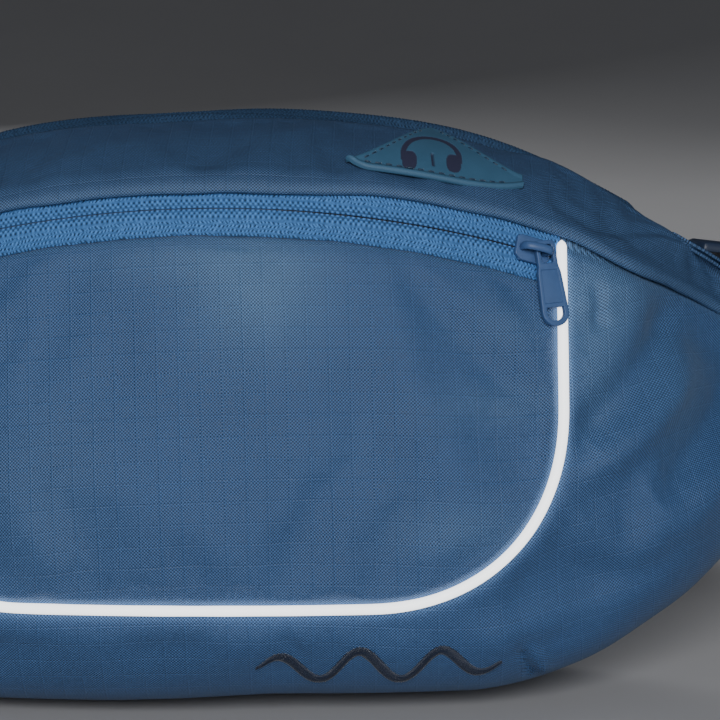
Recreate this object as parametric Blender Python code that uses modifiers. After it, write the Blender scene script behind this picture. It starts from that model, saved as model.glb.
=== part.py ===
"""Zipped hip bag: curved front pocket, top main zip, headphone port and waist belt with buckle.

Metres, +Z up, +X to the wearer's left, the front faces -Y. The origin is the centre of the flat base.
"""
import math

import bmesh
import bpy
from mathutils import Matrix, Vector

NAME = "hip_bag"

# Body: half width at the end seams, belly and back planes, and how the section rounds off
HALF_WIDTH = 0.156
BELLY_Y = -0.044
END_Y = 0.035
BACK_Y = 0.038
BACK_CROWN = 0.003
BACK_LIFT = 0.0015
PLAN_POWER = 2.1
PLAN_ROUND = 2.3
BELLY_SHARE = 0.42
UPPER_POWER = 1.5
LOWER_POWER = 2.4
FOOT_SHARE = 0.275

# Underside: flat in the middle, then rising towards the ends
BASE_FLAT_X = 0.068
END_RISE = 0.056
RISE_POWER = 1.68

# Where the front seam and the ridge bend back to meet the back panel
SEAM_BLEND_X = 0.110
RIDGE_BLEND_X = 0.129
SEAM_END_Y = 0.032

# Section parameter from the front seam (0) over the belly round to the heel (1)
V_BAND = 0.053
V_BELLY = 0.42
V_FOOT = 0.73

# Front zip: an arc in a tilted plane; its band leans back from the pocket edge to the seam
SEAM_APEX = Vector((0.0, -0.024, 0.144))
SEAM_RADIUS = 0.2165
SEAM_TILT = math.radians(42.0)
BAND_LEAN = math.radians(27.0)
BAND_WIDTH = 0.0115
FRONT_SPLIT = -0.0044
FRONT_ZIP_END_X = 0.0895
FRONT_SLIDER_X = 0.0835

# Main zip: an upright arc along the ridge
RIDGE_APEX = Vector((0.0, 0.028, 0.1625))
RIDGE_RADIUS = 0.2505
RIDGE_TAPE_WIDTH = 0.0085
MAIN_ZIP_END_X = 0.119
MAIN_SLIDER_X = -0.109
GUSSET_LIP = 0.0012
GUSSET_RISE = Vector((0.0, 0.012, 0.018))
GUSSET_END_RISE = 0.4

# Fabric and zip thicknesses, and the gap kept between pieces
FABRIC = 0.0012
GAP = 0.0006
TAPE = 0.0007
TAPE_DEPTH = 0.0010
CHAIN_GAP = 0.0015
COIL_WIDTH = 0.0022
COIL_DEPTH = 0.0021
COIL_GAP = 0.0003
STOP_LENGTH = 0.0022

# Pocket outline and its piping
PIPING_X = 0.0918
PIPING_Z = 0.0352
CORNER = 0.0515
CORNER_POWER = 2.15
PIPING_RADIUS = 0.0014
PIPING_CHANNEL = 0.0018
PIPING_SINK = 0.0002
PIPING_POINTS = 60

# Headphone port on the gusset
PORT_X = (0.0335, 0.0825)
PORT_APEX_X = 0.0575
PORT_LOW = 0.40
PORT_HIGH = 0.83
PORT_LIFT = 0.0003
PORT_THICKNESS = 0.0016
SLIT_SIZE = Vector((0.0014, 0.014, 0.0045))

# Lining, divider, foam pad and its mesh cover
POCKET_DEPTH = 0.014
POCKET_NECK = 0.0072
POCKET_FLOOR = 0.015
DIVIDER_HALF_WIDTH = 0.086
LINING_HALF_WIDTH = 0.104
LINING_BEHIND = 0.003
LINING_BACK_GAP = 0.0035
LINING_FLOOR = 0.0024
LINING_FOOT = 0.006
LINING_HEM = 0.006
LINING_ROWS = (6, 2, 6)
PAD_HALF_WIDTH = 0.104
PAD_MARGIN = 0.014
PAD_THICKNESS = 0.008
MESH_THICKNESS = 0.0012

# Belt: webbing, end tabs, the loop behind the bag
WEB_WIDTH = 0.038
WEB_THICKNESS = 0.0014
TAB_INNER_X = 0.110
TAB_Y = 0.0435
TAB_Z = 0.100
TAB_PLY_GAP = 0.0032
TAB_STEP = 0.006
LOOP_START = 0.083
LOOP_STIFFNESS = 0.080
LOOP_REACH = 0.222
LOOP_WIDENING = 0.150
LOOP_REST_Z = 0.0199
LOOP_STRAIGHT = 0.12
TAIL_REACH = 0.42
TURN_X = 0.0034
TURN_Y = 0.0030
BELT_STATIONS = (0.17, 0.22, 0.60, 0.96)

# Side-release buckle, in its own frame: x away from the bag, y through it, z across the webbing
BUCKLE_PLACE = Vector((0.141, 0.0515, 0.0995))
BUCKLE_DROP = math.radians(8.0)
BUCKLE_YAW = math.radians(25.0)
FEMALE_LENGTH = 0.034
BUCKLE_HEIGHT = 0.046
BUCKLE_THICKNESS = 0.011
CAVITY_HEIGHT = 0.041
CAVITY_THICKNESS = 0.0066
BAR_REACH = 0.0095
BAR_SLOT = 0.0062
BAR_THICKNESS = 0.0028
FEMALE_BAR_X = -(BAR_REACH + BAR_SLOT) / 2.0
WINDOW_X = (0.008, 0.0245)
MALE_START = FEMALE_LENGTH + 0.0005
MALE_LENGTH = 0.019
MALE_HEIGHT = 0.0445
MALE_THICKNESS = 0.008
LADDER_SLOT = 0.0048
LADDER_BAR = 0.0030
MALE_BAR_X = MALE_START + MALE_LENGTH - LADDER_SLOT - 1.5 * LADDER_BAR
GUIDE_LENGTH = 0.022
GUIDE_HEIGHT = 0.007
PRONG_Z = 0.0142
PRONG_ARM = 0.0030
PRONG_THICKNESS = 0.0058
PRONG_TIP_X = 0.0105
PRONG_BARB = 0.0115
PRONG_REACH_Z = 0.0218
PRONG_ROOT_GAP = 0.0004
PLASTIC_BEVEL = 0.0009

# Strap keeper on the doubled webbing
KEEPER_X = 0.064
KEEPER_LENGTH = 0.012
KEEPER_THICKNESS = 0.0014
KEEPER_ROOM = 0.0008

# Sliders and pulls: x along the zip, y across it, z outwards from the panel
SLIDER_LENGTH = 0.0100
SLIDER_WIDTH = 0.0072
PLATE = (-0.0006, 0.0009)
UNDER_PLATE = (-0.0055, -0.0045)
BLADE_WIDTH = 0.0008
BLADE_LENGTH = 0.0060
BRIDGE_SPAN = 0.0036
BRIDGE_BAR = (0.0037, 0.0052)
BRIDGE_WIDTH = 0.0022
BRIDGE_FOOT = 0.0017
PULL_PLANE = (0.0017, 0.0033)
PULL_LENGTH = 0.0205
PULL_WIDTH = 0.0084
PULL_NECK = 0.0062
PULL_EYE = (0.0030, 0.0048)
PULL_CROSSBAR = 0.0014
PULL_SHOULDER = (0.0060, 0.0085)
PULL_WINDOW = (0.0042, 0.0052)
FRONT_PULL_SWING = math.radians(24.0)

NAVY = (0.012, 0.022, 0.050)
BLUE = (0.075, 0.190, 0.360)
DEEP_BLUE = (0.040, 0.120, 0.240)
TAPE_BLUE = (0.050, 0.200, 0.440)
PULL_BLUE = (0.110, 0.250, 0.440)
RUBBER_BLUE = (0.020, 0.130, 0.240)
SILVER = (0.80, 0.82, 0.84)
GREY = (0.20, 0.21, 0.22)


def clear_scene():
    for obj in list(bpy.data.objects):
        bpy.data.objects.remove(obj)


def new_collection(name):
    collection = bpy.data.collections.new(name)
    bpy.context.scene.collection.children.link(collection)
    return collection


clear_scene()
PARTS = new_collection(NAME)
CUTTERS = new_collection(NAME + "_cutters")


def material(name, color, roughness, metallic=0.0):
    mat = bpy.data.materials.new(name)
    mat.use_nodes = True
    shader = mat.node_tree.nodes["Principled BSDF"]
    shader.inputs["Base Color"].default_value = (*color, 1.0)
    shader.inputs["Roughness"].default_value = roughness
    shader.inputs["Metallic"].default_value = metallic
    return mat


# ---------------------------------------------------------------- shared geometry

def lerp(a, b, t):
    return a + (b - a) * t


def smoothstep(t):
    t = min(max(t, 0.0), 1.0)
    return t * t * (3.0 - 2.0 * t)


class ArcPath:
    """A zip's route: an arc about an axis square to X, with its band leaning from that axis."""

    def __init__(self, apex, radius, tilt, lean):
        self.up = Vector((0.0, -math.sin(tilt), math.cos(tilt)))
        self.axis = Vector((0.0, math.cos(tilt), math.sin(tilt)))
        self.centre = apex - radius * self.up
        self.radius = radius
        self.lean = lean

    def place(self, angle, across=0.0, height=0.0):
        """The point at an angle, so far across the band and so high above it."""
        rho = self.radius + math.sin(self.lean) * across + math.cos(self.lean) * height
        along = math.cos(self.lean) * across - math.sin(self.lean) * height
        radial = Vector((math.sin(angle), 0.0, 0.0)) + math.cos(angle) * self.up
        return self.centre + rho * radial + along * self.axis

    def angle(self, x, across=0.0, height=0.0):
        rho = self.radius + math.sin(self.lean) * across + math.cos(self.lean) * height
        return math.asin(x / rho)

    def at_x(self, x, across=0.0, height=0.0):
        return self.place(self.angle(x, across, height), across, height)

    def frame(self, x, across=0.0):
        """Matrix of the local axes: x along the zip, y across the band, z outwards."""
        angle = self.angle(x, across)
        along = Vector((math.cos(angle), 0.0, 0.0)) - math.sin(angle) * self.up
        radial = Vector((math.sin(angle), 0.0, 0.0)) + math.cos(angle) * self.up
        side = math.sin(self.lean) * radial + math.cos(self.lean) * self.axis
        matrix = Matrix((along, side, along.cross(side))).transposed().to_4x4()
        matrix.translation = self.place(angle, across)
        return matrix


FRONT_ZIP = ArcPath(SEAM_APEX, SEAM_RADIUS, SEAM_TILT, BAND_LEAN)
MAIN_ZIP = ArcPath(RIDGE_APEX, RIDGE_RADIUS, 0.0, 0.0)


def end_blend(x, start_x):
    return smoothstep((abs(x) - start_x) / (HALF_WIDTH - start_x))


def seam_point(x, across=0.0):
    """The front seam, or the zip band below it; near the ends it bends back to the back panel."""
    point = FRONT_ZIP.at_x(x, across)
    seam_y = FRONT_ZIP.at_x(x).y
    point.y += end_blend(x, SEAM_BLEND_X) * (SEAM_END_Y - seam_y)
    return point


def ridge_edge(x, across):
    """The edge of the ridge: in front of the main zip for a negative across, behind for a positive."""
    point = MAIN_ZIP.at_x(x)
    end_y = SEAM_END_Y if across < 0.0 else BACK_Y
    point.y = lerp(point.y + across, end_y, end_blend(x, RIDGE_BLEND_X))
    return point


def underside_z(x):
    share = max(abs(x) - BASE_FLAT_X, 0.0) / (HALF_WIDTH - BASE_FLAT_X)
    return END_RISE * share ** RISE_POWER


def belly_y(x):
    rest = 1.0 - min(abs(x) / HALF_WIDTH, 1.0) ** PLAN_POWER
    return END_Y - (END_Y - BELLY_Y) * rest ** (1.0 / PLAN_ROUND)


def body_point(x, v):
    """The bag's outer surface at x, for v from the front seam round to the back-bottom edge."""
    pocket_edge = seam_point(x, -BAND_WIDTH)
    if v <= V_BAND:
        return seam_point(x, -BAND_WIDTH * v / V_BAND)
    low = underside_z(x)
    belly_z = lerp(low, pocket_edge.z, BELLY_SHARE)
    belly = belly_y(x)
    foot = lerp(belly, BACK_Y, FOOT_SHARE)
    if v <= V_BELLY:
        up = (V_BELLY - v) / (V_BELLY - V_BAND)
        z = lerp(belly_z, pocket_edge.z, up)
        return Vector((x, lerp(belly, pocket_edge.y, up ** UPPER_POWER), z))
    if v <= V_FOOT:
        turn = math.pi / 2.0 * (v - V_BELLY) / (V_FOOT - V_BELLY)
        out = max(math.cos(turn), 0.0) ** (2.0 / LOWER_POWER)
        down = math.sin(turn) ** (2.0 / LOWER_POWER)
        return Vector((x, lerp(foot, belly, out), lerp(belly_z, low, down)))
    back = (v - V_FOOT) / (1.0 - V_FOOT)
    return Vector((x, lerp(foot, BACK_Y, back), low))


def v_at_height(x, z):
    """The section parameter of the front surface at a height."""
    pocket_edge = seam_point(x, -BAND_WIDTH)
    low = underside_z(x)
    belly_z = lerp(low, pocket_edge.z, BELLY_SHARE)
    if z >= pocket_edge.z:
        seam_z = seam_point(x).z
        return V_BAND * (seam_z - min(z, seam_z)) / (seam_z - pocket_edge.z)
    if z >= belly_z:
        return lerp(V_BELLY, V_BAND, (z - belly_z) / (pocket_edge.z - belly_z))
    down = min((belly_z - z) / (belly_z - low), 1.0)
    turn = math.asin(down ** (LOWER_POWER / 2.0))
    return lerp(V_BELLY, V_FOOT, turn / (math.pi / 2.0))


def front_point(x, z, depth=0.0):
    """The front surface at x and z, moved inwards by a depth."""
    v = v_at_height(x, z)
    step = 0.0005
    along = body_point(x + step, v) - body_point(x - step, v)
    down = body_point(x, min(v + step, 1.0)) - body_point(x, max(v - step, 0.0))
    inward = along.cross(down).normalized()
    return body_point(x, v) + depth * inward


def outline_point(t, grow):
    """The pocket outline as (x, z): side, round corner and foot for t from 0 to 1, grown outwards."""
    side_x = PIPING_X + grow
    foot_z = PIPING_Z - grow
    corner = CORNER + grow
    top_z = seam_point(side_x).z
    if t < 0.35:
        return side_x, lerp(top_z, foot_z + corner, t / 0.35)
    if t < 0.65:
        turn = math.pi / 2.0 * (t - 0.35) / 0.30
        power = 2.0 / CORNER_POWER
        x = side_x - corner + corner * math.cos(turn) ** power
        return x, foot_z + corner - corner * math.sin(turn) ** power
    return lerp(side_x - corner, 0.0, (t - 0.65) / 0.35), foot_z


def gusset_point(x, g):
    """The top gusset from the front seam (0) to the edge of the main zip (1)."""
    start = seam_point(x)
    end = ridge_edge(x, -RIDGE_TAPE_WIDTH)
    end.z += GUSSET_LIP
    knee = start + GUSSET_RISE * lerp(1.0, GUSSET_END_RISE, end_blend(x, SEAM_BLEND_X))
    return (1 - g) ** 2 * start + 2 * g * (1 - g) * knee + g * g * end


def back_point(x, v):
    """The back panel from the underside (0) to the ridge (1)."""
    top = ridge_edge(x, RIDGE_TAPE_WIDTH)
    crown = BACK_CROWN * math.sin(math.pi * v) * (1.0 - (x / HALF_WIDTH) ** 2)
    y = lerp(BACK_Y, top.y, v ** 3) + crown
    return Vector((x, y, lerp(underside_z(x), top.z, v)))


# ---------------------------------------------------------------- shared building

def add_object(name, mesh, mat, collection=None):
    obj = bpy.data.objects.new(name, mesh)
    (collection or PARTS).objects.link(obj)
    if mat:
        mesh.materials.append(mat)
    return obj


def sheet(name, steps, place, thickness, mat, mirrored=False):
    """A grid laid on a surface by place(u, v), thickened inwards from its outer face."""
    bm = bmesh.new()
    bmesh.ops.create_grid(bm, x_segments=steps[0], y_segments=steps[1], size=1.0)
    for vert in bm.verts:
        vert.co = place((vert.co.x + 1.0) / 2.0, (vert.co.y + 1.0) / 2.0)
    mesh = bpy.data.meshes.new(name)
    bm.to_mesh(mesh)
    bm.free()
    obj = add_object(name, mesh, mat)
    if mirrored:
        mirror = obj.modifiers.new("Mirror", "MIRROR")
        mirror.merge_threshold = 0.0001
    solid = obj.modifiers.new("Solidify", "SOLIDIFY")
    solid.thickness = thickness
    solid.offset = -1.0
    return obj


def ribbon(name, steps, path, mat, width=WEB_WIDTH, thickness=WEB_THICKNESS):
    """A strap: path(t) gives its centre line and its unit width direction."""
    def place(u, v):
        centre, across = path(u)
        return centre + across * width * (v - 0.5)
    obj = sheet(name, (steps, 2), place, thickness, mat)
    obj.modifiers["Solidify"].offset = 0.0
    return obj


def box_mesh(name, low, high):
    low, high = Vector(low), Vector(high)
    bm = bmesh.new()
    bmesh.ops.create_cube(bm, size=1.0)
    bmesh.ops.scale(bm, vec=high - low, verts=bm.verts)
    bmesh.ops.translate(bm, vec=(low + high) / 2.0, verts=bm.verts)
    mesh = bpy.data.meshes.new(name)
    bm.to_mesh(mesh)
    bm.free()
    return mesh


def bevel(obj, width, segments=1):
    modifier = obj.modifiers.new("Bevel", "BEVEL")
    modifier.width = width
    modifier.segments = segments
    modifier.limit_method = "ANGLE"
    return modifier


def combine(obj, tools, operation):
    """Join or cut obj with boxes and outlines in its own frame, then keep the plain mesh."""
    for mesh in tools:
        tool = add_object(obj.name + "_tool", mesh, None, CUTTERS)
        tool.matrix_world = obj.matrix_world
        modifier = obj.modifiers.new("Boolean", "BOOLEAN")
        modifier.operation = operation
        modifier.object = tool
        bake_modifiers(obj)
        bpy.data.objects.remove(tool)
    return obj


def bake_modifiers(obj):
    bpy.context.view_layer.update()
    graph = bpy.context.evaluated_depsgraph_get()
    mesh = bpy.data.meshes.new_from_object(obj.evaluated_get(graph))
    obj.modifiers.clear()
    obj.data = mesh


def plate_mesh(name, points, low, high):
    """A flat outline in the local x-y plane between two heights."""
    bm = bmesh.new()
    verts = [bm.verts.new((x, y, low)) for x, y in points]
    face = bm.faces.new(verts)
    lifted = bmesh.ops.extrude_face_region(bm, geom=[face])
    moved = [item for item in lifted["geom"] if isinstance(item, bmesh.types.BMVert)]
    bmesh.ops.translate(bm, vec=(0.0, 0.0, high - low), verts=moved)
    bmesh.ops.recalc_face_normals(bm, faces=bm.faces)
    mesh = bpy.data.meshes.new(name)
    bm.to_mesh(mesh)
    bm.free()
    return mesh


# ---------------------------------------------------------------- bag body

def build_front_pocket_panel(mat):
    half = PIPING_X - PIPING_CHANNEL

    def place(u, v):
        x = half * math.sin(math.pi * (u - 0.5))
        top = seam_point(x, -BAND_WIDTH - GAP).z
        reach = max(abs(x) - (PIPING_X - CORNER), 0.0) / (CORNER - PIPING_CHANNEL)
        rise = (1.0 - min(reach, 1.0) ** CORNER_POWER) ** (1.0 / CORNER_POWER)
        foot = PIPING_Z + CORNER - (CORNER - PIPING_CHANNEL) * rise
        return front_point(x, lerp(foot, top, v))
    return sheet("front_pocket_panel", (24, 10), place, FABRIC, mat)


def build_wrap_panel(mat):
    outer_x = HALF_WIDTH - GAP

    def place(u, v):
        x, z = outline_point(u, PIPING_CHANNEL)
        inner = (x, v_at_height(x, z))
        if u < 0.5:
            outer = (outer_x, u / 0.5)
        else:
            outer = (outer_x * (1.0 - (u - 0.5) / 0.5), 1.0)
        height = lerp(inner[1], outer[1], v)
        height = lerp(GAP * 3.0, 1.0 - GAP * 3.0, height)
        return body_point(lerp(inner[0], outer[0], v), height)
    return sheet("wrap_panel", (28, 7), place, FABRIC, mat, mirrored=True)


def build_top_gusset(mat):
    def place(u, v):
        x = lerp(-1.0, 1.0, u) * (HALF_WIDTH - GAP)
        return gusset_point(x, lerp(0.03, 0.97, v))
    return sheet("top_gusset", (32, 4), place, FABRIC, mat)


def build_back_panel(mat):
    def place(u, v):
        x = lerp(1.0, -1.0, u) * (HALF_WIDTH - GAP)
        point = back_point(x, lerp(0.004, 0.985, v))
        point.y += BACK_LIFT
        return point
    return sheet("back_panel", (24, 8), place, FABRIC, mat)


def pad_point(u, v, inset):
    half = PAD_HALF_WIDTH - inset
    x = half * math.sin(math.pi * (0.5 - u))
    low = underside_z(x) + PAD_MARGIN + inset
    high = ridge_edge(x, RIDGE_TAPE_WIDTH).z - PAD_MARGIN - inset
    edge = (1.0 - (abs(x) / half) ** 6) ** 0.5
    middle = (low + high) / 2.0
    z = lerp(middle, lerp(low, high, v), lerp(0.72, 1.0, edge))
    panel = back_point(x, (z - underside_z(x)) / (high + PAD_MARGIN - underside_z(x)))
    return Vector((x, panel.y, z))


def build_back_pad(foam, mesh_fabric):
    lift = BACK_LIFT + GAP

    def foam_face(u, v):
        point = pad_point(u, v, 0.002)
        point.y += lift + PAD_THICKNESS
        return point

    def cover_face(u, v):
        point = pad_point(u, v, 0.0)
        point.y += lift + PAD_THICKNESS + 0.0005 + MESH_THICKNESS
        return point
    sheet("back_foam_pad", (18, 6), foam_face, PAD_THICKNESS, foam)
    sheet("back_mesh", (18, 6), cover_face, MESH_THICKNESS, mesh_fabric)


def pocket_depth(x, z):
    """How far the pocket's back wall lies behind the front surface: deepest halfway up."""
    share = (z - POCKET_FLOOR) / (seam_point(x, -BAND_WIDTH).z - POCKET_FLOOR)
    return lerp(POCKET_NECK, POCKET_DEPTH, max(math.sin(math.pi * share), 0.0))


def build_pocket_divider(mat):
    def place(u, v):
        x = lerp(-1.0, 1.0, u) * DIVIDER_HALF_WIDTH
        top = seam_point(x, -BAND_WIDTH).z
        low = PIPING_Z + CORNER * (abs(x) / DIVIDER_HALF_WIDTH) ** 4
        z = lerp(low, top, v)
        return front_point(x, z, pocket_depth(x, z))
    return sheet("pocket_divider", (14, 6), place, FABRIC, mat)


def build_main_lining(mat):
    """A sling from behind the divider, over the floor and up the back, open at its top and ends."""
    front_share = LINING_ROWS[0] / sum(LINING_ROWS)
    floor_share = (LINING_ROWS[0] + LINING_ROWS[1]) / sum(LINING_ROWS)

    def place(u, v):
        x = lerp(-1.0, 1.0, u) * LINING_HALF_WIDTH
        floor = underside_z(x) + LINING_FLOOR
        front_y = lerp(belly_y(x), BACK_Y, FOOT_SHARE) + LINING_BEHIND
        back_y = BACK_Y - LINING_BACK_GAP
        if v < front_share:
            share = v / front_share
            low = floor + LINING_FOOT
            top = seam_point(x, -BAND_WIDTH).z
            z = lerp(top, low, share)
            return front_point(x, z, pocket_depth(x, z) + LINING_BEHIND)
        if v < floor_share:
            across = (v - front_share) / (floor_share - front_share)
            return Vector((x, lerp(front_y, back_y, across), floor))
        top = ridge_edge(x, RIDGE_TAPE_WIDTH).z - LINING_HEM
        return Vector((x, back_y, lerp(floor, top, (v - floor_share) / (1.0 - floor_share))))
    return sheet("main_lining", (14, sum(LINING_ROWS)), place, FABRIC / 2.0, mat)


def build_piping(mat):
    curve = bpy.data.curves.new("reflective_piping", "CURVE")
    curve.dimensions = "3D"
    curve.bevel_depth = PIPING_RADIUS
    curve.bevel_resolution = 2
    curve.use_fill_caps = True
    spline = curve.splines.new("POLY")
    spline.points.add(PIPING_POINTS - 1)
    for index, point in enumerate(spline.points):
        share = 1.0 - abs(2.0 * index / (PIPING_POINTS - 1) - 1.0)
        side = -1.0 if index < PIPING_POINTS / 2 else 1.0
        x, z = outline_point(share, 0.0)
        point.co = (*front_point(side * x, z, PIPING_SINK), 1.0)
    return add_object("reflective_piping", curve, mat)


# ---------------------------------------------------------------- headphone port

def port_span(x):
    """Lower and upper edge of the port on the gusset at x: two concave flanks to a blunt apex."""
    near, far = (PORT_X[0], PORT_APEX_X) if x < PORT_APEX_X else (PORT_X[1], PORT_APEX_X)
    climb = (x - near) / (far - near)
    low = PORT_LOW - 0.05 * math.sin(math.pi * (x - PORT_X[0]) / (PORT_X[1] - PORT_X[0]))
    return low, lerp(PORT_LOW + 0.05, PORT_HIGH, climb ** 1.2)


def gusset_lifted(x, g, lift):
    step = 0.001
    along = gusset_point(x + step, g) - gusset_point(x - step, g)
    up = gusset_point(x, g + step) - gusset_point(x, g - step)
    return gusset_point(x, g) + lift * along.cross(up).normalized()


def build_headphone_port(mat, gusset):
    def place(u, v):
        x = lerp(PORT_X[0], PORT_X[1], u)
        low, high = port_span(x)
        return gusset_lifted(x, lerp(low, high, v), PORT_LIFT + PORT_THICKNESS)
    port = sheet("headphone_port", (14, 5), place, PORT_THICKNESS, mat)
    middle = gusset_point(PORT_APEX_X, lerp(PORT_LOW, PORT_HIGH, 0.55))
    slit = box_mesh("port_slit", middle - SLIT_SIZE / 2.0, middle + SLIT_SIZE / 2.0)
    combine(port, [slit.copy()], "DIFFERENCE")
    combine(gusset, [slit], "DIFFERENCE")
    return port


# ---------------------------------------------------------------- zips

def arc_strip(name, path, end_x, across, height, mat, steps=30, start_x=None):
    """A strip of constant section along a zip: a range across it and a range of heights."""
    start_x = -end_x if start_x is None else start_x

    def place(u, v):
        angle = lerp(path.angle(start_x, across[0]), path.angle(end_x, across[0]), u)
        return path.place(angle, lerp(across[0], across[1], v), height[1])
    return sheet(name, (steps, 1), place, height[1] - height[0], mat)


def build_zip(prefix, sides, path, centre, end_x, surface, mats):
    """Two tapes with a coil behind each, either side of the chain gap, and stops at both ends.

    Each side gives its name, its direction across the zip and how far its tape reaches that way.
    """
    tape_mat, coil_mat = mats
    tape = (surface - TAPE_DEPTH - TAPE, surface - TAPE_DEPTH)
    coil = (tape[0] - COIL_GAP - COIL_DEPTH, tape[0] - COIL_GAP)
    inner = CHAIN_GAP / 2.0
    for name, sign, reach in sides:
        edges = sorted((centre + sign * inner, centre + sign * reach))
        arc_strip(prefix + "_tape_" + name, path, end_x, edges, tape, tape_mat)
        edges = sorted((centre + sign * inner, centre + sign * (inner + COIL_WIDTH)))
        arc_strip(prefix + "_coil_" + name, path, end_x - 0.004, edges, coil, coil_mat)
    blade = CHAIN_GAP / 2.0 - COIL_GAP
    for name, sign in (("left", -1.0), ("right", 1.0)):
        ends = sorted((sign * (end_x - STOP_LENGTH), sign * end_x))
        arc_strip(prefix + "_stop_" + name, path, ends[1], (centre - blade, centre + blade),
                  (coil[0], tape[1]), coil_mat, steps=1, start_x=ends[0])


def build_slider(name, path, x, centre, surface, mat):
    """Shield, blade and under plate with a bridge on top, on the chain gap between the tapes."""
    slider = add_object(name, box_mesh(name, (-SLIDER_LENGTH / 2, -SLIDER_WIDTH / 2, PLATE[0]),
                                       (SLIDER_LENGTH / 2, SLIDER_WIDTH / 2, PLATE[1])), mat)
    bevel(slider, 0.0005)
    bake_modifiers(slider)
    half = BRIDGE_WIDTH / 2
    foot_in = BRIDGE_SPAN - BRIDGE_FOOT
    overlap = 0.0002
    pieces = [
        box_mesh("blade", (-BLADE_LENGTH / 2, -BLADE_WIDTH / 2, UNDER_PLATE[1] - overlap),
                 (BLADE_LENGTH / 2, BLADE_WIDTH / 2, PLATE[0] + overlap)),
        box_mesh("under", (-SLIDER_LENGTH * 0.42, -SLIDER_WIDTH * 0.42, UNDER_PLATE[0]),
                 (SLIDER_LENGTH * 0.42, SLIDER_WIDTH * 0.42, UNDER_PLATE[1])),
        box_mesh("foot_a", (foot_in, -half, PLATE[1] - overlap), (BRIDGE_SPAN, half, BRIDGE_BAR[1])),
        box_mesh("foot_b", (-BRIDGE_SPAN, -half, PLATE[1] - overlap), (-foot_in, half, BRIDGE_BAR[1])),
        box_mesh("bar", (-foot_in - overlap, -half, BRIDGE_BAR[0]),
                 (foot_in + overlap, half, BRIDGE_BAR[1])),
    ]
    combine(slider, pieces, "UNION")
    frame = path.frame(x, centre)
    frame.translation += surface * frame.to_3x3().col[2]
    slider.matrix_world = frame
    return slider


def pull_outline():
    """Pull tab hanging in -y from its eye: a neck, widening to a body with a round end."""
    half, neck = PULL_WIDTH / 2, PULL_NECK / 2
    top = PULL_EYE[0] / 2 + PULL_CROSSBAR
    points = [(neck, top - 0.0008), (neck - 0.0008, top), (0.0008 - neck, top), (-neck, top - 0.0008),
              (-neck, -PULL_SHOULDER[0]), (-half, -PULL_SHOULDER[1])]
    centre_y = half - PULL_LENGTH
    for index in range(9):
        turn = math.pi * index / 8
        points.append((-half * math.cos(turn), centre_y - half * math.sin(turn)))
    points += [(half, -PULL_SHOULDER[1]), (neck, -PULL_SHOULDER[0])]
    return points


def build_pull(name, mat):
    pull = add_object(name, plate_mesh(name, pull_outline(), *PULL_PLANE), mat)
    wide, tall = PULL_WINDOW
    eye = PULL_EYE[0] / 2
    eye_low = eye - PULL_EYE[1]
    centre_y = PULL_WIDTH / 2 - PULL_LENGTH
    tall_low = centre_y - tall / 2
    cuts = [
        box_mesh("eye", (-eye, eye_low, 0.0), (eye, eye, 2 * PULL_PLANE[1])),
        box_mesh("window", (-wide / 2, tall_low, 0.0), (wide / 2, tall_low + tall, 2 * PULL_PLANE[1])),
    ]
    return combine(pull, cuts, "DIFFERENCE")


def build_sliders(mat):
    front = build_slider("front_slider", FRONT_ZIP, FRONT_SLIDER_X, FRONT_SPLIT, 0.0, mat)
    foot = BRIDGE_SPAN - BRIDGE_FOOT / 2
    pull = build_pull("front_pull", mat)
    pull.matrix_world = (front.matrix_world @ Matrix.Translation((foot, 0.0, 0.0))
                         @ Matrix.Rotation(FRONT_PULL_SWING, 4, "Z"))
    main = build_slider("main_slider", MAIN_ZIP, MAIN_SLIDER_X, 0.0, 0.0, mat)
    pull = build_pull("main_pull", mat)
    pull.matrix_world = (main.matrix_world @ Matrix.Translation((-foot, 0.0, 0.0))
                         @ Matrix.Rotation(-math.pi / 2, 4, "Z"))


# ---------------------------------------------------------------- belt and buckle

BUCKLE_FRAME = (Matrix.Translation(BUCKLE_PLACE) @ Matrix.Rotation(BUCKLE_YAW, 4, "Z")
                @ Matrix.Rotation(BUCKLE_DROP, 4, "Y"))


def bezier(points, t):
    a, b, c, d = points
    s = 1.0 - t
    return s ** 3 * a + 3 * s * s * t * b + 3 * s * t * t * c + t ** 3 * d


def loop_controls():
    """Control points of the right half of the belt, from the keeper to its rearmost point."""
    start = BUCKLE_FRAME @ Vector((LOOP_START, 0.0, 0.0))
    along = BUCKLE_FRAME.to_3x3() @ Vector((LOOP_STIFFNESS, 0.0, 0.0))
    rear = Vector((0.0, LOOP_REACH, LOOP_REST_Z))
    return start, start + along, rear + Vector((LOOP_WIDENING, 0.0, 0.0)), rear


def across_from(tangent):
    up = Vector((0.0, 0.0, 1.0))
    return (up - up.dot(tangent) * tangent).normalized()


def half_loop(t, outward):
    """Right half of the belt for t from the male buckle (0) to the rear (1), offset outwards."""
    controls = loop_controls()
    bar = BUCKLE_FRAME @ Vector((MALE_BAR_X, 0.0, 0.0))
    if t < LOOP_STRAIGHT:
        point = bar.lerp(controls[0], t / LOOP_STRAIGHT)
        tangent = (controls[0] - bar).normalized()
    else:
        share = (t - LOOP_STRAIGHT) / (1.0 - LOOP_STRAIGHT)
        point = bezier(controls, share)
        step = 0.01
        tangent = (bezier(controls, min(share + step, 1.0)) - bezier(controls, share - step)).normalized()
    across = across_from(tangent)
    return point + outward * tangent.cross(across), across


def web_turn(bar_x, turn):
    """Where webbing lies round a buckle bar, for a turn from its front (-90) to its back (90)."""
    local = Vector((bar_x + TURN_X * math.cos(turn), TURN_Y * math.sin(turn), 0.0))
    return BUCKLE_FRAME @ local, BUCKLE_FRAME.to_3x3() @ Vector((0.0, 0.0, 1.0))


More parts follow.
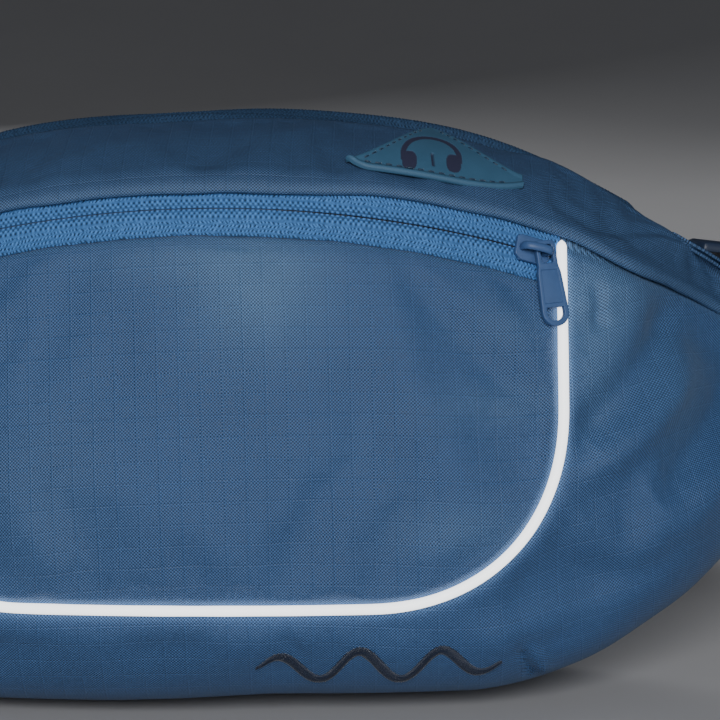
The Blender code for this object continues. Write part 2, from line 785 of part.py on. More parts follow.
def belt_point(s):
    """Belt centre line from its tail's tip (0), round the male buckle's bar, to the left end (1)."""
    tail_end, turn_end, rear, left = BELT_STATIONS
    if s < tail_end:
        return half_loop(TAIL_REACH * (1.0 - s / tail_end) + 0.02, TURN_Y)
    if s < turn_end:
        turn = lerp(-math.pi / 2, math.pi / 2, (s - tail_end) / (turn_end - tail_end))
        point, across = web_turn(MALE_BAR_X, math.pi - turn)
        return point, across
    if s < rear:
        return half_loop(lerp(0.02, 1.0, (s - turn_end) / (rear - turn_end)), -TURN_Y)
    if s < left:
        point, across = half_loop(lerp(1.0, 0.0, (s - rear) / (left - rear)), -TURN_Y)
        return Vector((-point.x, point.y, point.z)), Vector((-across.x, across.y, across.z))
    start, across = belt_point(left - 0.0001)
    share = (s - left) / (1.0 - left)
    sewn = Vector((-TAB_INNER_X, TAB_Y, TAB_Z))
    return start.lerp(sewn, share), across.lerp(Vector((0.0, 0.0, 1.0)), share).normalized()


def build_belt(mat):
    ribbon("belt_webbing", 96, belt_point, mat)


def tab_point(u):
    """The right webbing tab: sewn to the back panel, out round the female buckle's bar, and back."""
    up = Vector((0.0, 0.0, 1.0))
    inner = Vector((TAB_INNER_X, TAB_Y, TAB_Z))
    outer_ply = inner + Vector((TAB_STEP, TAB_PLY_GAP, 0.0))
    near, across = web_turn(FEMALE_BAR_X, -math.pi / 2)
    far = web_turn(FEMALE_BAR_X, math.pi / 2)[0]
    if u < 0.35:
        return inner.lerp(near, u / 0.35), up.lerp(across, u / 0.35).normalized()
    if u < 0.65:
        return web_turn(FEMALE_BAR_X, lerp(-math.pi / 2, math.pi / 2, (u - 0.35) / 0.30))
    share = (u - 0.65) / 0.35
    return far.lerp(outer_ply, share), across.lerp(up, share).normalized()


def build_tab(mat):
    ribbon("belt_tab", 24, tab_point, mat)


def build_buckle_female(mat):
    half_h, half_t = BUCKLE_HEIGHT / 2, BUCKLE_THICKNESS / 2
    body = add_object("buckle_female", box_mesh("buckle_female", (-BAR_REACH, -half_t, -half_h),
                                                (FEMALE_LENGTH, half_t, half_h)), mat)
    bevel(body, PLASTIC_BEVEL * 2, 2)
    bake_modifiers(body)
    cavity_h, cavity_t = CAVITY_HEIGHT / 2, CAVITY_THICKNESS / 2
    slot_h = WEB_WIDTH / 2 + 0.001
    bar_t = BAR_THICKNESS / 2
    far = 0.02
    cuts = [
        box_mesh("cut", (0.002, -cavity_t, -cavity_h), (FEMALE_LENGTH + far, cavity_t, cavity_h)),
        box_mesh("cut", (WINDOW_X[0], -cavity_t, -half_h - far), (WINDOW_X[1], cavity_t, half_h + far)),
        box_mesh("cut", (-BAR_SLOT, -far, -slot_h), (-0.0006, far, slot_h)),
        box_mesh("cut", (-BAR_REACH - far, bar_t, -slot_h), (-BAR_SLOT + 0.0001, far, slot_h)),
        box_mesh("cut", (-BAR_REACH - far, -far, -slot_h), (-BAR_SLOT + 0.0001, -bar_t, slot_h)),
    ]
    combine(body, cuts, "DIFFERENCE")
    body.matrix_world = BUCKLE_FRAME
    return body


def build_buckle_male(mat):
    half_h, half_t = MALE_HEIGHT / 2, MALE_THICKNESS / 2
    end = MALE_START + MALE_LENGTH
    body = add_object("buckle_male", box_mesh("buckle_male", (MALE_START, -half_t, -half_h),
                                              (end, half_t, half_h)), mat)
    bevel(body, PLASTIC_BEVEL * 2, 2)
    bake_modifiers(body)
    guide_t = PRONG_THICKNESS / 2 - 0.0004
    guide = box_mesh("cut", (MALE_START - GUIDE_LENGTH, -guide_t, -GUIDE_HEIGHT / 2),
                       (MALE_START + 0.001, guide_t, GUIDE_HEIGHT / 2))
    combine(body, [guide], "UNION")
    slot_h = WEB_WIDTH / 2 + 0.001
    bar_t = BAR_THICKNESS / 2
    ladder = end - 2.0 * (LADDER_SLOT + LADDER_BAR)
    far = 2.0 * MALE_THICKNESS
    cuts = [box_mesh("front_relief", (ladder, -far, -slot_h), (end + far, -bar_t, slot_h)),
            box_mesh("back_relief", (ladder, bar_t, -slot_h), (end + far, far, slot_h))]
    for index in range(2):
        start = ladder + index * (LADDER_SLOT + LADDER_BAR)
        cuts.append(box_mesh("slot", (start, -far, -slot_h), (start + LADDER_SLOT, far, slot_h)))
    combine(body, cuts, "DIFFERENCE")
    body.matrix_world = BUCKLE_FRAME
    return body


def prong_outline(side):
    """An arm from the male body to a barbed head, in the local x-z plane."""
    root = MALE_START - PRONG_ROOT_GAP
    inner, outer = PRONG_Z - PRONG_ARM, PRONG_Z
    points = [(root, inner), (root, outer), (PRONG_TIP_X + PRONG_BARB + 0.001, outer),
              (PRONG_TIP_X + PRONG_BARB, PRONG_REACH_Z), (PRONG_TIP_X + 0.004, PRONG_REACH_Z - 0.0012),
              (PRONG_TIP_X, PRONG_Z + 0.001), (PRONG_TIP_X, inner)]
    return [(x, side * z) for x, z in points]


def build_prongs(mat):
    lay_down = Matrix.Rotation(math.pi / 2, 4, "X")
    for name, side in (("upper", 1.0), ("lower", -1.0)):
        node = "buckle_prong_" + name
        pivot = Vector((MALE_START - PRONG_ROOT_GAP, side * (PRONG_Z - PRONG_ARM / 2)))
        points = [(x - pivot.x, z - pivot.y) for x, z in prong_outline(side)]
        mesh = plate_mesh(node, points, -PRONG_THICKNESS / 2, PRONG_THICKNESS / 2)
        prong = add_object(node, mesh, mat)
        prong.matrix_world = BUCKLE_FRAME @ Matrix.Translation((pivot.x, 0.0, pivot.y)) @ lay_down


def build_keeper(mat):
    """A closed elastic loop round the doubled webbing, cut through by the straps' room."""
    half_h = WEB_WIDTH / 2 + KEEPER_ROOM
    far = TURN_Y + WEB_THICKNESS / 2 + KEEPER_ROOM
    wall = KEEPER_THICKNESS
    keeper = add_object("strap_keeper", box_mesh("strap_keeper", (0.0, -far - wall, -half_h - wall),
                                                 (KEEPER_LENGTH, far + wall, half_h + wall)), mat)
    room = box_mesh("room", (-KEEPER_LENGTH, -far, -half_h), (2 * KEEPER_LENGTH, far, half_h))
    combine(keeper, [room], "DIFFERENCE")
    keeper.matrix_world = BUCKLE_FRAME @ Matrix.Translation((KEEPER_X, 0.0, 0.0))
    return keeper


# ---------------------------------------------------------------- whole bag

def build():
    ripstop = material("ripstop_blue", BLUE, 0.55)
    gusset_cloth = material("ripstop_deep_blue", DEEP_BLUE, 0.60)
    tape = material("zip_tape_blue", TAPE_BLUE, 0.75)
    coil = material("zip_coil_blue", TAPE_BLUE, 0.45)
    pulls = material("zip_pull_blue", PULL_BLUE, 0.35)
    rubber = material("port_rubber", RUBBER_BLUE, 0.60)
    reflective = material("reflective_tape", SILVER, 0.40)
    lining = material("lining_grey", GREY, 0.80)
    foam = material("foam_grey", GREY, 0.90)
    spacer = material("spacer_mesh", NAVY, 0.85)
    webbing = material("webbing_navy", NAVY, 0.80)
    plastic = material("buckle_navy", NAVY, 0.30)

    build_front_pocket_panel(ripstop)
    build_wrap_panel(ripstop)
    gusset = build_top_gusset(gusset_cloth)
    build_back_panel(gusset_cloth)
    build_back_pad(foam, spacer)
    build_pocket_divider(lining)
    build_main_lining(lining)
    build_piping(reflective)
    build_headphone_port(rubber, gusset)
    front_sides = (("upper", 1.0, -FRONT_SPLIT - GAP), ("lower", -1.0, BAND_WIDTH + FRONT_SPLIT - GAP))
    build_zip("front_zip", front_sides, FRONT_ZIP, FRONT_SPLIT, FRONT_ZIP_END_X, 0.0, (tape, coil))
    reach = RIDGE_TAPE_WIDTH - GAP
    main_sides = (("back", 1.0, reach), ("front", -1.0, reach))
    build_zip("main_zip", main_sides, MAIN_ZIP, 0.0, MAIN_ZIP_END_X, 0.0, (tape, coil))
    build_sliders(pulls)
    build_belt(webbing)
    build_tab(webbing)
    build_buckle_female(plastic)
    build_buckle_male(plastic)
    build_prongs(plastic)
    build_keeper(webbing)


build()
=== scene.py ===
"""Looks of the zipped hip bag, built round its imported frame. Metres, +Z up, the front faces -Y."""
import math
from contextlib import contextmanager

import bmesh
import bpy
import numpy as np
from mathutils import Matrix, Vector
from mathutils.bvhtree import BVHTree


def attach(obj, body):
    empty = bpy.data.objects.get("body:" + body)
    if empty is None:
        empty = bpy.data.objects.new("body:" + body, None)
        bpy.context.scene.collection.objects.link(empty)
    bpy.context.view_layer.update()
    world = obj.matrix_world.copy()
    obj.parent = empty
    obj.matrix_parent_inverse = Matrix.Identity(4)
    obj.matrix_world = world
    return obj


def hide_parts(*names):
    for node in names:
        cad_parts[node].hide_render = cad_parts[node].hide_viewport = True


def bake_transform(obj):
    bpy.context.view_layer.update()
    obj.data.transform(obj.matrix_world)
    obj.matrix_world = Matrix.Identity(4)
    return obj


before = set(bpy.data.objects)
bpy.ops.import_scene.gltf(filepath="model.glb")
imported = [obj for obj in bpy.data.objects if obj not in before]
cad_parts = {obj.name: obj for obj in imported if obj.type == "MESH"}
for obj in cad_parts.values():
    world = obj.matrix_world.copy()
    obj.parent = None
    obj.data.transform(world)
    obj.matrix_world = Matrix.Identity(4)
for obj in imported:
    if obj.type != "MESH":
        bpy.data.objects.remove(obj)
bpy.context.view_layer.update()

# ---- the bag's own dimensions, in metres: the CAD's, with a few brought closer to the photograph

HALF_WIDTH = 0.156
BELLY_Y = -0.044
END_Y = 0.035
BACK_Y = 0.038
BACK_CROWN = 0.003
BACK_LIFT = 0.0015
PLAN_POWER = 2.1
PLAN_ROUND = 2.3
BELLY_SHARE = 0.42
UPPER_POWER = 1.5
LOWER_POWER = 2.3
FOOT_SHARE = 0.40
BASE_FLAT_X = 0.068
END_RISE = 0.0538
RISE_POWER = 1.68
SEAM_BLEND_X = 0.110
RIDGE_BLEND_X = 0.129
SEAM_END_Y = 0.032
V_BAND = 0.053
V_BELLY = 0.42
V_FOOT = 0.73
SEAM_APEX = (0.0, -0.024, 0.144)
SEAM_RADIUS = 0.2165
SEAM_TILT = math.radians(42.0)
BAND_LEAN = math.radians(27.0)
BAND_WIDTH = 0.0115
FRONT_SPLIT = -0.0044
FRONT_ZIP_END_X = 0.0895
FRONT_SLIDER_X = 0.0836
RIDGE_APEX = (0.0, 0.028, 0.1625)
RIDGE_RADIUS = 0.2505
RIDGE_TAPE_WIDTH = 0.0085
MAIN_ZIP_END_X = 0.119
MAIN_SLIDER_X = -0.109
GUSSET_RISE = np.array((0.0, 0.012, 0.018))
GUSSET_END_RISE = 0.4
PIPING_X = 0.0918
PIPING_Z = 0.0352
CORNER = 0.0515
LEFT_CORNER = 0.0400
UNDER_HEM = 0.0034
CORNER_POWER = 2.15
PIPING_RADIUS = 0.0014
PORT_X = (0.0335, 0.0812)
PORT_APEX_X = 0.0570
PORT_LOW = 0.212
PORT_HIGH = 0.955
PORT_SHOULDERS = (0.300, 0.470)
POCKET_DEPTH = 0.014
POCKET_NECK = 0.0072
POCKET_FLOOR = 0.015
DIVIDER_HALF_WIDTH = 0.086
LINING_HALF_WIDTH = 0.104
LINING_BEHIND = 0.003
LINING_BACK_GAP = 0.0035
LINING_FLOOR = 0.0024
LINING_FOOT = 0.006
LINING_HEM = 0.006
PAD_HALF_WIDTH = 0.104
PAD_MARGIN = 0.014
WEB_WIDTH = 0.038
WEB_THICKNESS = 0.0014
TAB_INNER = Vector((0.110, 0.0435, 0.100))
TAB_PLY_GAP = 0.0032
TAB_STEP = 0.006
TAB_TURN = (0.35, 0.65)
LOOP_START = 0.083
LOOP_STIFFNESS = 0.080
LOOP_REACH = 0.222
LOOP_WIDENING = 0.150
LOOP_REST_Z = 0.0199
LOOP_STRAIGHT = 0.12
TAIL_REACH = 0.42
TURN_X = 0.0034
TURN_Y = 0.0030
BELT_STATIONS = (0.17, 0.22, 0.60, 0.96)
BUCKLE_FRAME = (Matrix.Translation((0.141, 0.0515, 0.0995)) @ Matrix.Rotation(math.radians(25.0), 4, "Z")
                @ Matrix.Rotation(math.radians(8.0), 4, "Y"))
FEMALE_BAR_X = -0.00785
MALE_BAR_X = 0.0442
KEEPER_X = 0.064
KEEPER_LENGTH = 0.012
KEEPER_ROOM = 0.0015

GUSSET_TOP_ACROSS = -0.0080
GUSSET_TOP_DROP = 0.0016
BACK_HEM_LIFT = 0.0004
BACK_TOP = 0.992

MM = 0.001
QUARTER = math.pi / 2.0
END_X = HALF_WIDTH - 0.0005
UP = Vector((0.0, 0.0, 1.0))
SURFACE_STEP = 0.0005
TUBE_UP = (0.0, 1.0, 0.013)

# ---- small maths


def lerp(a, b, t):
    return a + (b - a) * t


def clamp(t):
    return np.clip(t, 0.0, 1.0)


def paired(a, b):
    return np.broadcast_arrays(np.asarray(a, float), np.asarray(b, float))


def smoothstep(t):
    t = clamp(t)
    return t * t * (3.0 - 2.0 * t)


def near(distance, width):
    """1 at no distance, falling smoothly to 0 at the given width."""
    return 1.0 - smoothstep(distance / width)


def bump(t):
    """A round hump of height 1 at 0 that ends at -1 and 1."""
    return clamp(1.0 - t * t) ** 2


def unit(arrows):
    return arrows / np.maximum(np.linalg.norm(arrows, axis=-1, keepdims=True), 1e-12)


def column(start, end, count):
    return np.linspace(start, end, count)[:, None]


def row(start, end, count):
    return np.linspace(start, end, count)[None, :]


def turned(a, b, angle):
    return a * np.cos(angle) - b * np.sin(angle), a * np.sin(angle) + b * np.cos(angle)


def smoothed(values, rounds):
    """Evens values out along their first axis, keeping both ends."""
    values = np.array(values, float)
    for _ in range(rounds):
        values[1:-1] = (values[:-2] + 2.0 * values[1:-1] + values[2:]) / 4.0
    return values


def run_length(path):
    """Distance along a line of points from its first."""
    return np.concatenate(((0.0,), np.cumsum(np.linalg.norm(np.diff(path, axis=0), axis=1))))


def vectors(x, y, z):
    return np.stack(np.broadcast_arrays(x, y, z), -1).astype(float)


def ripple(a, b, wavelength, seed):
    """Smooth variation between about -1 and 1 over two coordinates, the same each run."""
    random = np.random.default_rng(seed)
    total = 0.0
    waves = 7
    for _ in range(waves):
        turn = random.uniform(0.0, math.tau)
        phase = random.uniform(0.0, math.tau)
        pitch = wavelength * random.uniform(0.7, 1.5)
        total = total + np.sin(math.tau * (a * math.cos(turn) + b * math.sin(turn)) / pitch + phase)
    return total / waves ** 0.5 / 1.5


def fold(x, z, start, end, width, height, bow=0.0):
    """A soft fold from start to end, fading at both ends, bowed sideways by a share of its length."""
    ax, az = start
    dx, dz = end[0] - ax, end[1] - az
    length = math.hypot(dx, dz)
    along = ((x - ax) * dx + (z - az) * dz) / length ** 2
    off = ((x - ax) * dz - (z - az) * dx) / length - bow * length * np.sin(math.pi * clamp(along))
    fade = smoothstep((along + 0.25) / 0.45) * smoothstep((1.25 - along) / 0.45)
    return height * np.exp(-(off / width) ** 2) * fade


# ---- the bag's surfaces


class ArcPath:
    """A zip's route: an arc about an axis square to X, with its band leaning from that axis."""

    def __init__(self, apex, radius, tilt, lean):
        self.up = np.array((0.0, -math.sin(tilt), math.cos(tilt)))
        self.axis = np.array((0.0, math.cos(tilt), math.sin(tilt)))
        self.centre = np.array(apex) - radius * self.up
        self.radius = radius
        self.lean = lean

    def at_x(self, x, across=0.0, height=0.0):
        x, across, height = np.broadcast_arrays(x, across, height)
        rho = self.radius + math.sin(self.lean) * across + math.cos(self.lean) * height
        along = math.cos(self.lean) * across - math.sin(self.lean) * height
        rise = np.sqrt(rho * rho - x * x)
        return self.centre + vectors(x, 0, 0) + rise[..., None] * self.up + along[..., None] * self.axis

    def frame(self, x, across=0.0):
        """Matrix of the local axes: x along the zip, y across the band, z outwards."""
        rho = self.radius + math.sin(self.lean) * across
        angle = math.asin(x / rho)
        up = Vector(self.up)
        along = Vector((math.cos(angle), 0.0, 0.0)) - math.sin(angle) * up
        radial = Vector((math.sin(angle), 0.0, 0.0)) + math.cos(angle) * up
        side = math.sin(self.lean) * radial + math.cos(self.lean) * Vector(self.axis)
        matrix = Matrix((along, side, along.cross(side))).transposed().to_4x4()
        matrix.translation = Vector(self.at_x(x, across))
        return matrix


FRONT_ZIP = ArcPath(SEAM_APEX, SEAM_RADIUS, SEAM_TILT, BAND_LEAN)
MAIN_ZIP = ArcPath(RIDGE_APEX, RIDGE_RADIUS, 0.0, 0.0)


def end_blend(x, start_x):
    return smoothstep((np.abs(x) - start_x) / (HALF_WIDTH - start_x))


def seam_point(x, across=0.0):
    """The front seam, or the zip band below it; near the ends it bends back to the back panel."""
    point = FRONT_ZIP.at_x(x, across)
    point[..., 1] += end_blend(x, SEAM_BLEND_X) * (SEAM_END_Y - FRONT_ZIP.at_x(x)[..., 1])
    return point


def swell(x, middle, width, height):
    """A smooth hump along the bag."""
    return height * np.exp(-((x - middle) / width) ** 2)


def ridge_rise(x):
    """How the cloth beside the main zip stands over the zip's arc: fuller beside the headphone port."""
    return swell(x, 0.072, 0.036, 0.0026) + swell(x, -0.066, 0.026, 0.0015) - swell(x, -0.014, 0.020, 0.0011)


def ridge_edge(x, across):
    """The edge of the ridge: in front of the main zip for a negative across, behind for a positive."""
    point = MAIN_ZIP.at_x(x, 0.0, ridge_rise(x))
    end_y = np.where(across < 0.0, SEAM_END_Y, BACK_Y)
    point[..., 1] = lerp(point[..., 1] + across, end_y, end_blend(x, RIDGE_BLEND_X))
    return point


def ridge_z(x):
    """Height of the ridge's rear edge."""
    return ridge_edge(x, np.full_like(x, RIDGE_TAPE_WIDTH))[..., 2]


def underside_z(x):
    share = np.maximum(np.abs(x) - BASE_FLAT_X, 0.0) / (HALF_WIDTH - BASE_FLAT_X)
    return END_RISE * share ** RISE_POWER


def front_lift(x):
    """How far the soft underside stands off the floor at its front, where the filling pulls it up."""
    lift = lerp(0.0032, 0.0051, smoothstep((x + 0.03) / 0.05))
    lift = lift * (1.0 - 0.62 * smoothstep((np.abs(x) - 0.070) / 0.045))
    return lift * (1.0 - smoothstep((np.abs(x) - 0.112) / 0.020))


def belly_y(x):
    rest = 1.0 - np.minimum(np.abs(x) / HALF_WIDTH, 1.0) ** PLAN_POWER
    return END_Y - (END_Y - BELLY_Y) * rest ** (1.0 / PLAN_ROUND)


def body_point(x, v):
    """The bag's outer surface at x, for v from the front seam round to the back-bottom edge."""
    x, v = paired(x, v)
    edge = seam_point(x, -BAND_WIDTH)
    floor = underside_z(x)
    low = floor + front_lift(x)
    belly_z = lerp(floor, edge[..., 2], BELLY_SHARE)
    belly = belly_y(x)
    foot = lerp(belly, BACK_Y, FOOT_SHARE)
    up = clamp((V_BELLY - v) / (V_BELLY - V_BAND))
    turn = QUARTER * clamp((v - V_BELLY) / (V_FOOT - V_BELLY))
    out = np.maximum(np.cos(turn), 0.0) ** (2.0 / LOWER_POWER)
    down = np.sin(turn) ** (2.0 / LOWER_POWER)
    back = clamp((v - V_FOOT) / (1.0 - V_FOOT))
    upper = v <= V_BELLY
    lower_y = lerp(lerp(foot, belly, out), BACK_Y, back)
    y = np.where(upper, lerp(belly, edge[..., 1], up ** UPPER_POWER), lower_y)
    z = np.where(upper, lerp(belly_z, edge[..., 2], up), lerp(lerp(belly_z, low, down), floor, back))
    band = seam_point(x, -BAND_WIDTH * np.clip(v / V_BAND, -0.4, 1.0))
    return np.where((v <= V_BAND)[..., None], band, vectors(x, y, z))


def v_at_height(x, z):
    """The section parameter of the front surface at a height."""
    x, z = np.broadcast_arrays(x, z)
    edge_z = seam_point(x, -BAND_WIDTH)[..., 2]
    seam_z = seam_point(x)[..., 2]
    belly_z = lerp(underside_z(x), edge_z, BELLY_SHARE)
    low = underside_z(x) + front_lift(x)
    band = V_BAND * np.maximum(seam_z - z, -UNDER_HEM) / (seam_z - edge_z)
    upper = lerp(V_BELLY, V_BAND, (z - belly_z) / (edge_z - belly_z))
    down = clamp((belly_z - z) / (belly_z - low))
    lower = lerp(V_BELLY, V_FOOT, np.arcsin(down ** (LOWER_POWER / 2.0)) / (QUARTER))
    return np.where(z >= edge_z, band, np.where(z >= belly_z, upper, lower))


def outline_point(t, grow, size=CORNER):
    """The pocket outline as (x, z): side, round corner and foot for t from 0 to 1, grown outwards."""
    t = np.asarray(t, float)
    side_x = PIPING_X + grow
    foot_z = PIPING_Z - grow
    corner = size + grow
    top_z = seam_point(side_x)[..., 2]
    turn = QUARTER * clamp((t - 0.35) / 0.30)
    power = 2.0 / CORNER_POWER
    x = side_x - corner + corner * np.maximum(np.cos(turn), 0.0) ** power
    z = foot_z + corner - corner * np.sin(turn) ** power
    x = np.where(t > 0.65, lerp(side_x - corner, 0.0, (t - 0.65) / 0.35), x)
    z = np.where(t < 0.35, lerp(top_z, foot_z + corner, t / 0.35), z)
    return x, z


def gusset_top(x):
    """Height of the gusset's upper edge over the ridge: below the zip, but over it right of the port."""
    covered = 0.0028 * smoothstep((x - 0.074) / 0.018) * smoothstep((0.128 - x) / 0.034)
    return covered - GUSSET_TOP_DROP * (1.0 - end_blend(x, SEAM_BLEND_X))


def gusset_point(x, g):
    """The top gusset from the front seam (0) to the edge of the main zip (1)."""
    x, g = paired(x, g)
    start = seam_point(x)
    end = ridge_edge(x, np.full_like(x, GUSSET_TOP_ACROSS))
    end[..., 2] += gusset_top(x)
    knee = start + GUSSET_RISE * lerp(1.0, GUSSET_END_RISE, end_blend(x, SEAM_BLEND_X))[..., None]
    g = g[..., None]
    return (1.0 - g) ** 2 * start + 2.0 * g * (1.0 - g) * knee + g * g * end


def back_point(x, v):
    """The back panel from the underside (0) to the ridge (1)."""
    x, v = paired(x, v)
    top = ridge_edge(x, np.full_like(x, RIDGE_TAPE_WIDTH))
    crown = BACK_CROWN * np.sin(math.pi * v) * (1.0 - (x / HALF_WIDTH) ** 2)
    y = lerp(BACK_Y, top[..., 1], np.abs(v) ** 3) + crown + BACK_LIFT
    return vectors(x, y, lerp(underside_z(x), top[..., 2], v))


# ---- meshes from grids


def grid_normals(points):
    """Unit normals of a grid of points, as its rows cross its columns."""
    return unit(np.cross(np.gradient(points, axis=0), np.gradient(points, axis=1)))


def lifted(surface, x, v, lift, step):
    """A surface's point at x and v, moved by lift along the normal there."""
    along = surface(x + step, v) - surface(x - step, v)
    across = surface(x, v + step) - surface(x, v - step)
    return surface(x, v) + np.asarray(lift)[..., None] * unit(np.cross(along, across))


def front_surface(x, z, lift):
    """The front of the bag at x and z, raised by lift."""
    x, z = paired(x, z)
    return lifted(body_point, x, v_at_height(x, z), -np.asarray(lift), SURFACE_STEP)


def arc_lengths(points, axis):
    """Distance in metres along one axis of a grid, from its middle line."""
    steps = np.linalg.norm(np.diff(points, axis=axis), axis=-1)
    zero = np.zeros_like(np.take(steps, [0], axis=axis))
    total = np.cumsum(np.concatenate((zero, steps), axis), axis)
    return total - np.take(total, [total.shape[axis] // 2], axis=axis)


def set_grain(mesh, u, v, tone):
    """Stores the fabric's own coordinates in millimetres, and a tone value for its material: wear and print
    on some pieces, painted shade and painted highlights on others.
    """
    grain = mesh.attributes.new("grain", "FLOAT_VECTOR", "POINT")
    values = np.stack(np.broadcast_arrays(u / MM, v / MM, tone), -1).astype(np.float32)
    grain.data.foreach_set("vector", values.ravel())


def grid_piece(name, points, u=None, v=None, tone=0.0, closed=False):
    """A mesh object over a grid of points; a closed grid's last column is its first."""
    u = arc_lengths(points, 0) if u is None else u
    v = arc_lengths(points, 1) if v is None else v
    tone = np.broadcast_to(tone, points.shape[:2])
    u, v = np.broadcast_to(u, points.shape[:2]), np.broadcast_to(v, points.shape[:2])
    if closed:
        points, u, v, tone = points[:, :-1], u[:, :-1], v[:, :-1], tone[:, :-1]
    rows, columns = points.shape[:2]
    index = np.arange(rows * columns).reshape(rows, columns)
    if closed:
        index = np.concatenate((index, index[:, :1]), 1)
    quads = np.stack((index[:-1, :-1], index[:-1, 1:], index[1:, 1:], index[1:, :-1]), -1)
    mesh = bpy.data.meshes.new(name)
    mesh.from_pydata(points.reshape(-1, 3).tolist(), [], quads.reshape(-1, 4)[:, ::-1].tolist())
    set_grain(mesh, u, v, tone)
    mesh.shade_smooth()
    return add_object(name, mesh)


@contextmanager
def editing(mesh):
    """Opens a mesh for bmesh work, and writes it back."""
    bm = bmesh.new()
    bm.from_mesh(mesh)
    yield bm
    bm.to_mesh(mesh)
    bm.free()


def add_object(name, data):
    obj = bpy.data.objects.new(name, data)
    bpy.context.scene.collection.objects.link(obj)
    return obj


def evaluated(obj):
    return obj.evaluated_get(bpy.context.evaluated_depsgraph_get())


def corners(obj):
    return np.array([vert.co for vert in obj.data.vertices], float)


def solidify(obj, thickness, offset=-1.0):
    modifier = obj.modifiers.new("Solidify", "SOLIDIFY")
    modifier.thickness = thickness
    modifier.offset = offset
    modifier.use_even_offset = False
    return obj


def close_ends(obj):
    """Caps the two open rings of a tube."""
    with editing(obj.data) as bm:
        bmesh.ops.holes_fill(bm, edges=[edge for edge in bm.edges if edge.is_boundary])
        bmesh.ops.recalc_face_normals(bm, faces=bm.faces)
    obj.data.shade_smooth()
    return obj


def tube(name, path, radius, sides):
    """A round tube along a path of points; the radius may vary along it."""
    path = np.asarray(path, float)
    along = unit(np.gradient(path, axis=0))
    up = unit(np.cross(along, TUBE_UP))
    side = np.cross(along, up)
    turn = np.linspace(0.0, math.tau, sides + 1)[None, :, None]
    radius = np.broadcast_to(radius, len(path))[:, None, None]
    ring = path[:, None] + radius * (np.cos(turn) * up[:, None] + np.sin(turn) * side[:, None])
    return close_ends(grid_piece(name, ring, closed=True))


def merged(name, objects):
    """Joins several objects into one mesh object."""
    mesh = bpy.data.meshes.new(name)
    with editing(mesh) as bm:
        for obj in objects:
            obj.data.transform(obj.matrix_world)
            bm.from_mesh(obj.data)
            bpy.data.objects.remove(obj)
    mesh.shade_smooth()
    return add_object(name, mesh)


def flip_if_inward(obj, outward):
    """Turns a panel's faces over if they look away from the given direction."""
    total = Vector()
    for polygon in obj.data.polygons:
        total += polygon.normal * polygon.area
    if total.dot(Vector(outward)) < 0.0:
        obj.data.flip_normals()


def flip_by_volume(obj):
    with editing(obj.data) as bm:
        if bm.calc_volume(signed=True) < 0.0:
            bmesh.ops.reverse_faces(bm, faces=bm.faces)


# ---- cloth simulation

SIM_FRAMES = 18
SIM_FACTOR = 3
CLOTH_SETTINGS = {"quality": 6, "mass": 0.25, "tension_stiffness": 20.0, "compression_stiffness": 20.0,
                  "shear_stiffness": 8.0, "use_pressure": True}


def simulate(obj, pinned, pressure, spare, cap, bending=0.6):
    """Blows an object up as cloth with its pinned points held, and returns how far each point moved."""
    rest = corners(obj)
    group = obj.vertex_groups.new(name="held")
    for index in np.flatnonzero(pinned):
        group.add([int(index)], 1.0, "REPLACE")
    cloth = obj.modifiers.new("Cloth", "CLOTH")
    settings = cloth.settings
    for setting, value in CLOTH_SETTINGS.items():
        setattr(settings, setting, value)
    settings.bending_stiffness = bending
    settings.effector_weights.gravity = 0.0
    settings.shrink_min = -spare
    settings.uniform_pressure_force = pressure
    if pinned.any():
        settings.vertex_group_mass = group.name
    cloth.point_cache.frame_start = 1
    cloth.point_cache.frame_end = SIM_FRAMES
    scene = bpy.context.scene
    for number in range(1, SIM_FRAMES + 1):
        scene.frame_set(number)
    shift = corners(evaluated(obj)) - rest
    obj.modifiers.clear()
    scene.frame_set(1)
    length = np.linalg.norm(shift, axis=1, keepdims=True)
    return shift * np.minimum(1.0, cap / np.maximum(length, 1e-9)) * np.isfinite(length)


def upsample(values, factor):
    """Spreads values at every factor-th grid point over the whole grid, smoothly."""
    for axis in (0, 1):
        values = np.moveaxis(values, axis, 0)
        coarse = np.arange(len(values))
        fine = np.linspace(0, len(values) - 1, (len(values) - 1) * factor + 1)
        flat = values.reshape(len(values), -1)
        spread = np.stack([np.interp(fine, coarse, column) for column in flat.T], 1)
        spread = smoothed(spread, factor)
        values = np.moveaxis(spread.reshape(len(fine), *values.shape[1:]), 0, axis)
    return values


def slack(points, pressure, spare, cap):
    """How far a stretched panel, sewn down along its edges, moves when it is filled from behind."""
    coarse = points[::SIM_FACTOR, ::SIM_FACTOR]
    panel = grid_piece("slack_test", coarse)
    edge = np.ones(coarse.shape[:2], bool)
    edge[1:-1, 1:-1] = False
    shift = simulate(panel, edge.ravel(), pressure, spare, cap).reshape(coarse.shape)
    bpy.data.objects.remove(panel)
    return upsample(shift, SIM_FACTOR)


# ---- materials


def modify(obj, kind, **settings):
    """Adds a modifier with its settings, and applies it."""
    modifier = obj.modifiers.new(kind.title(), kind)
    for setting, value in settings.items():
        setattr(modifier, setting, value)
    bpy.context.view_layer.update()
    mesh = bpy.data.meshes.new_from_object(evaluated(obj))
    obj.modifiers.clear()
    obj.data = mesh


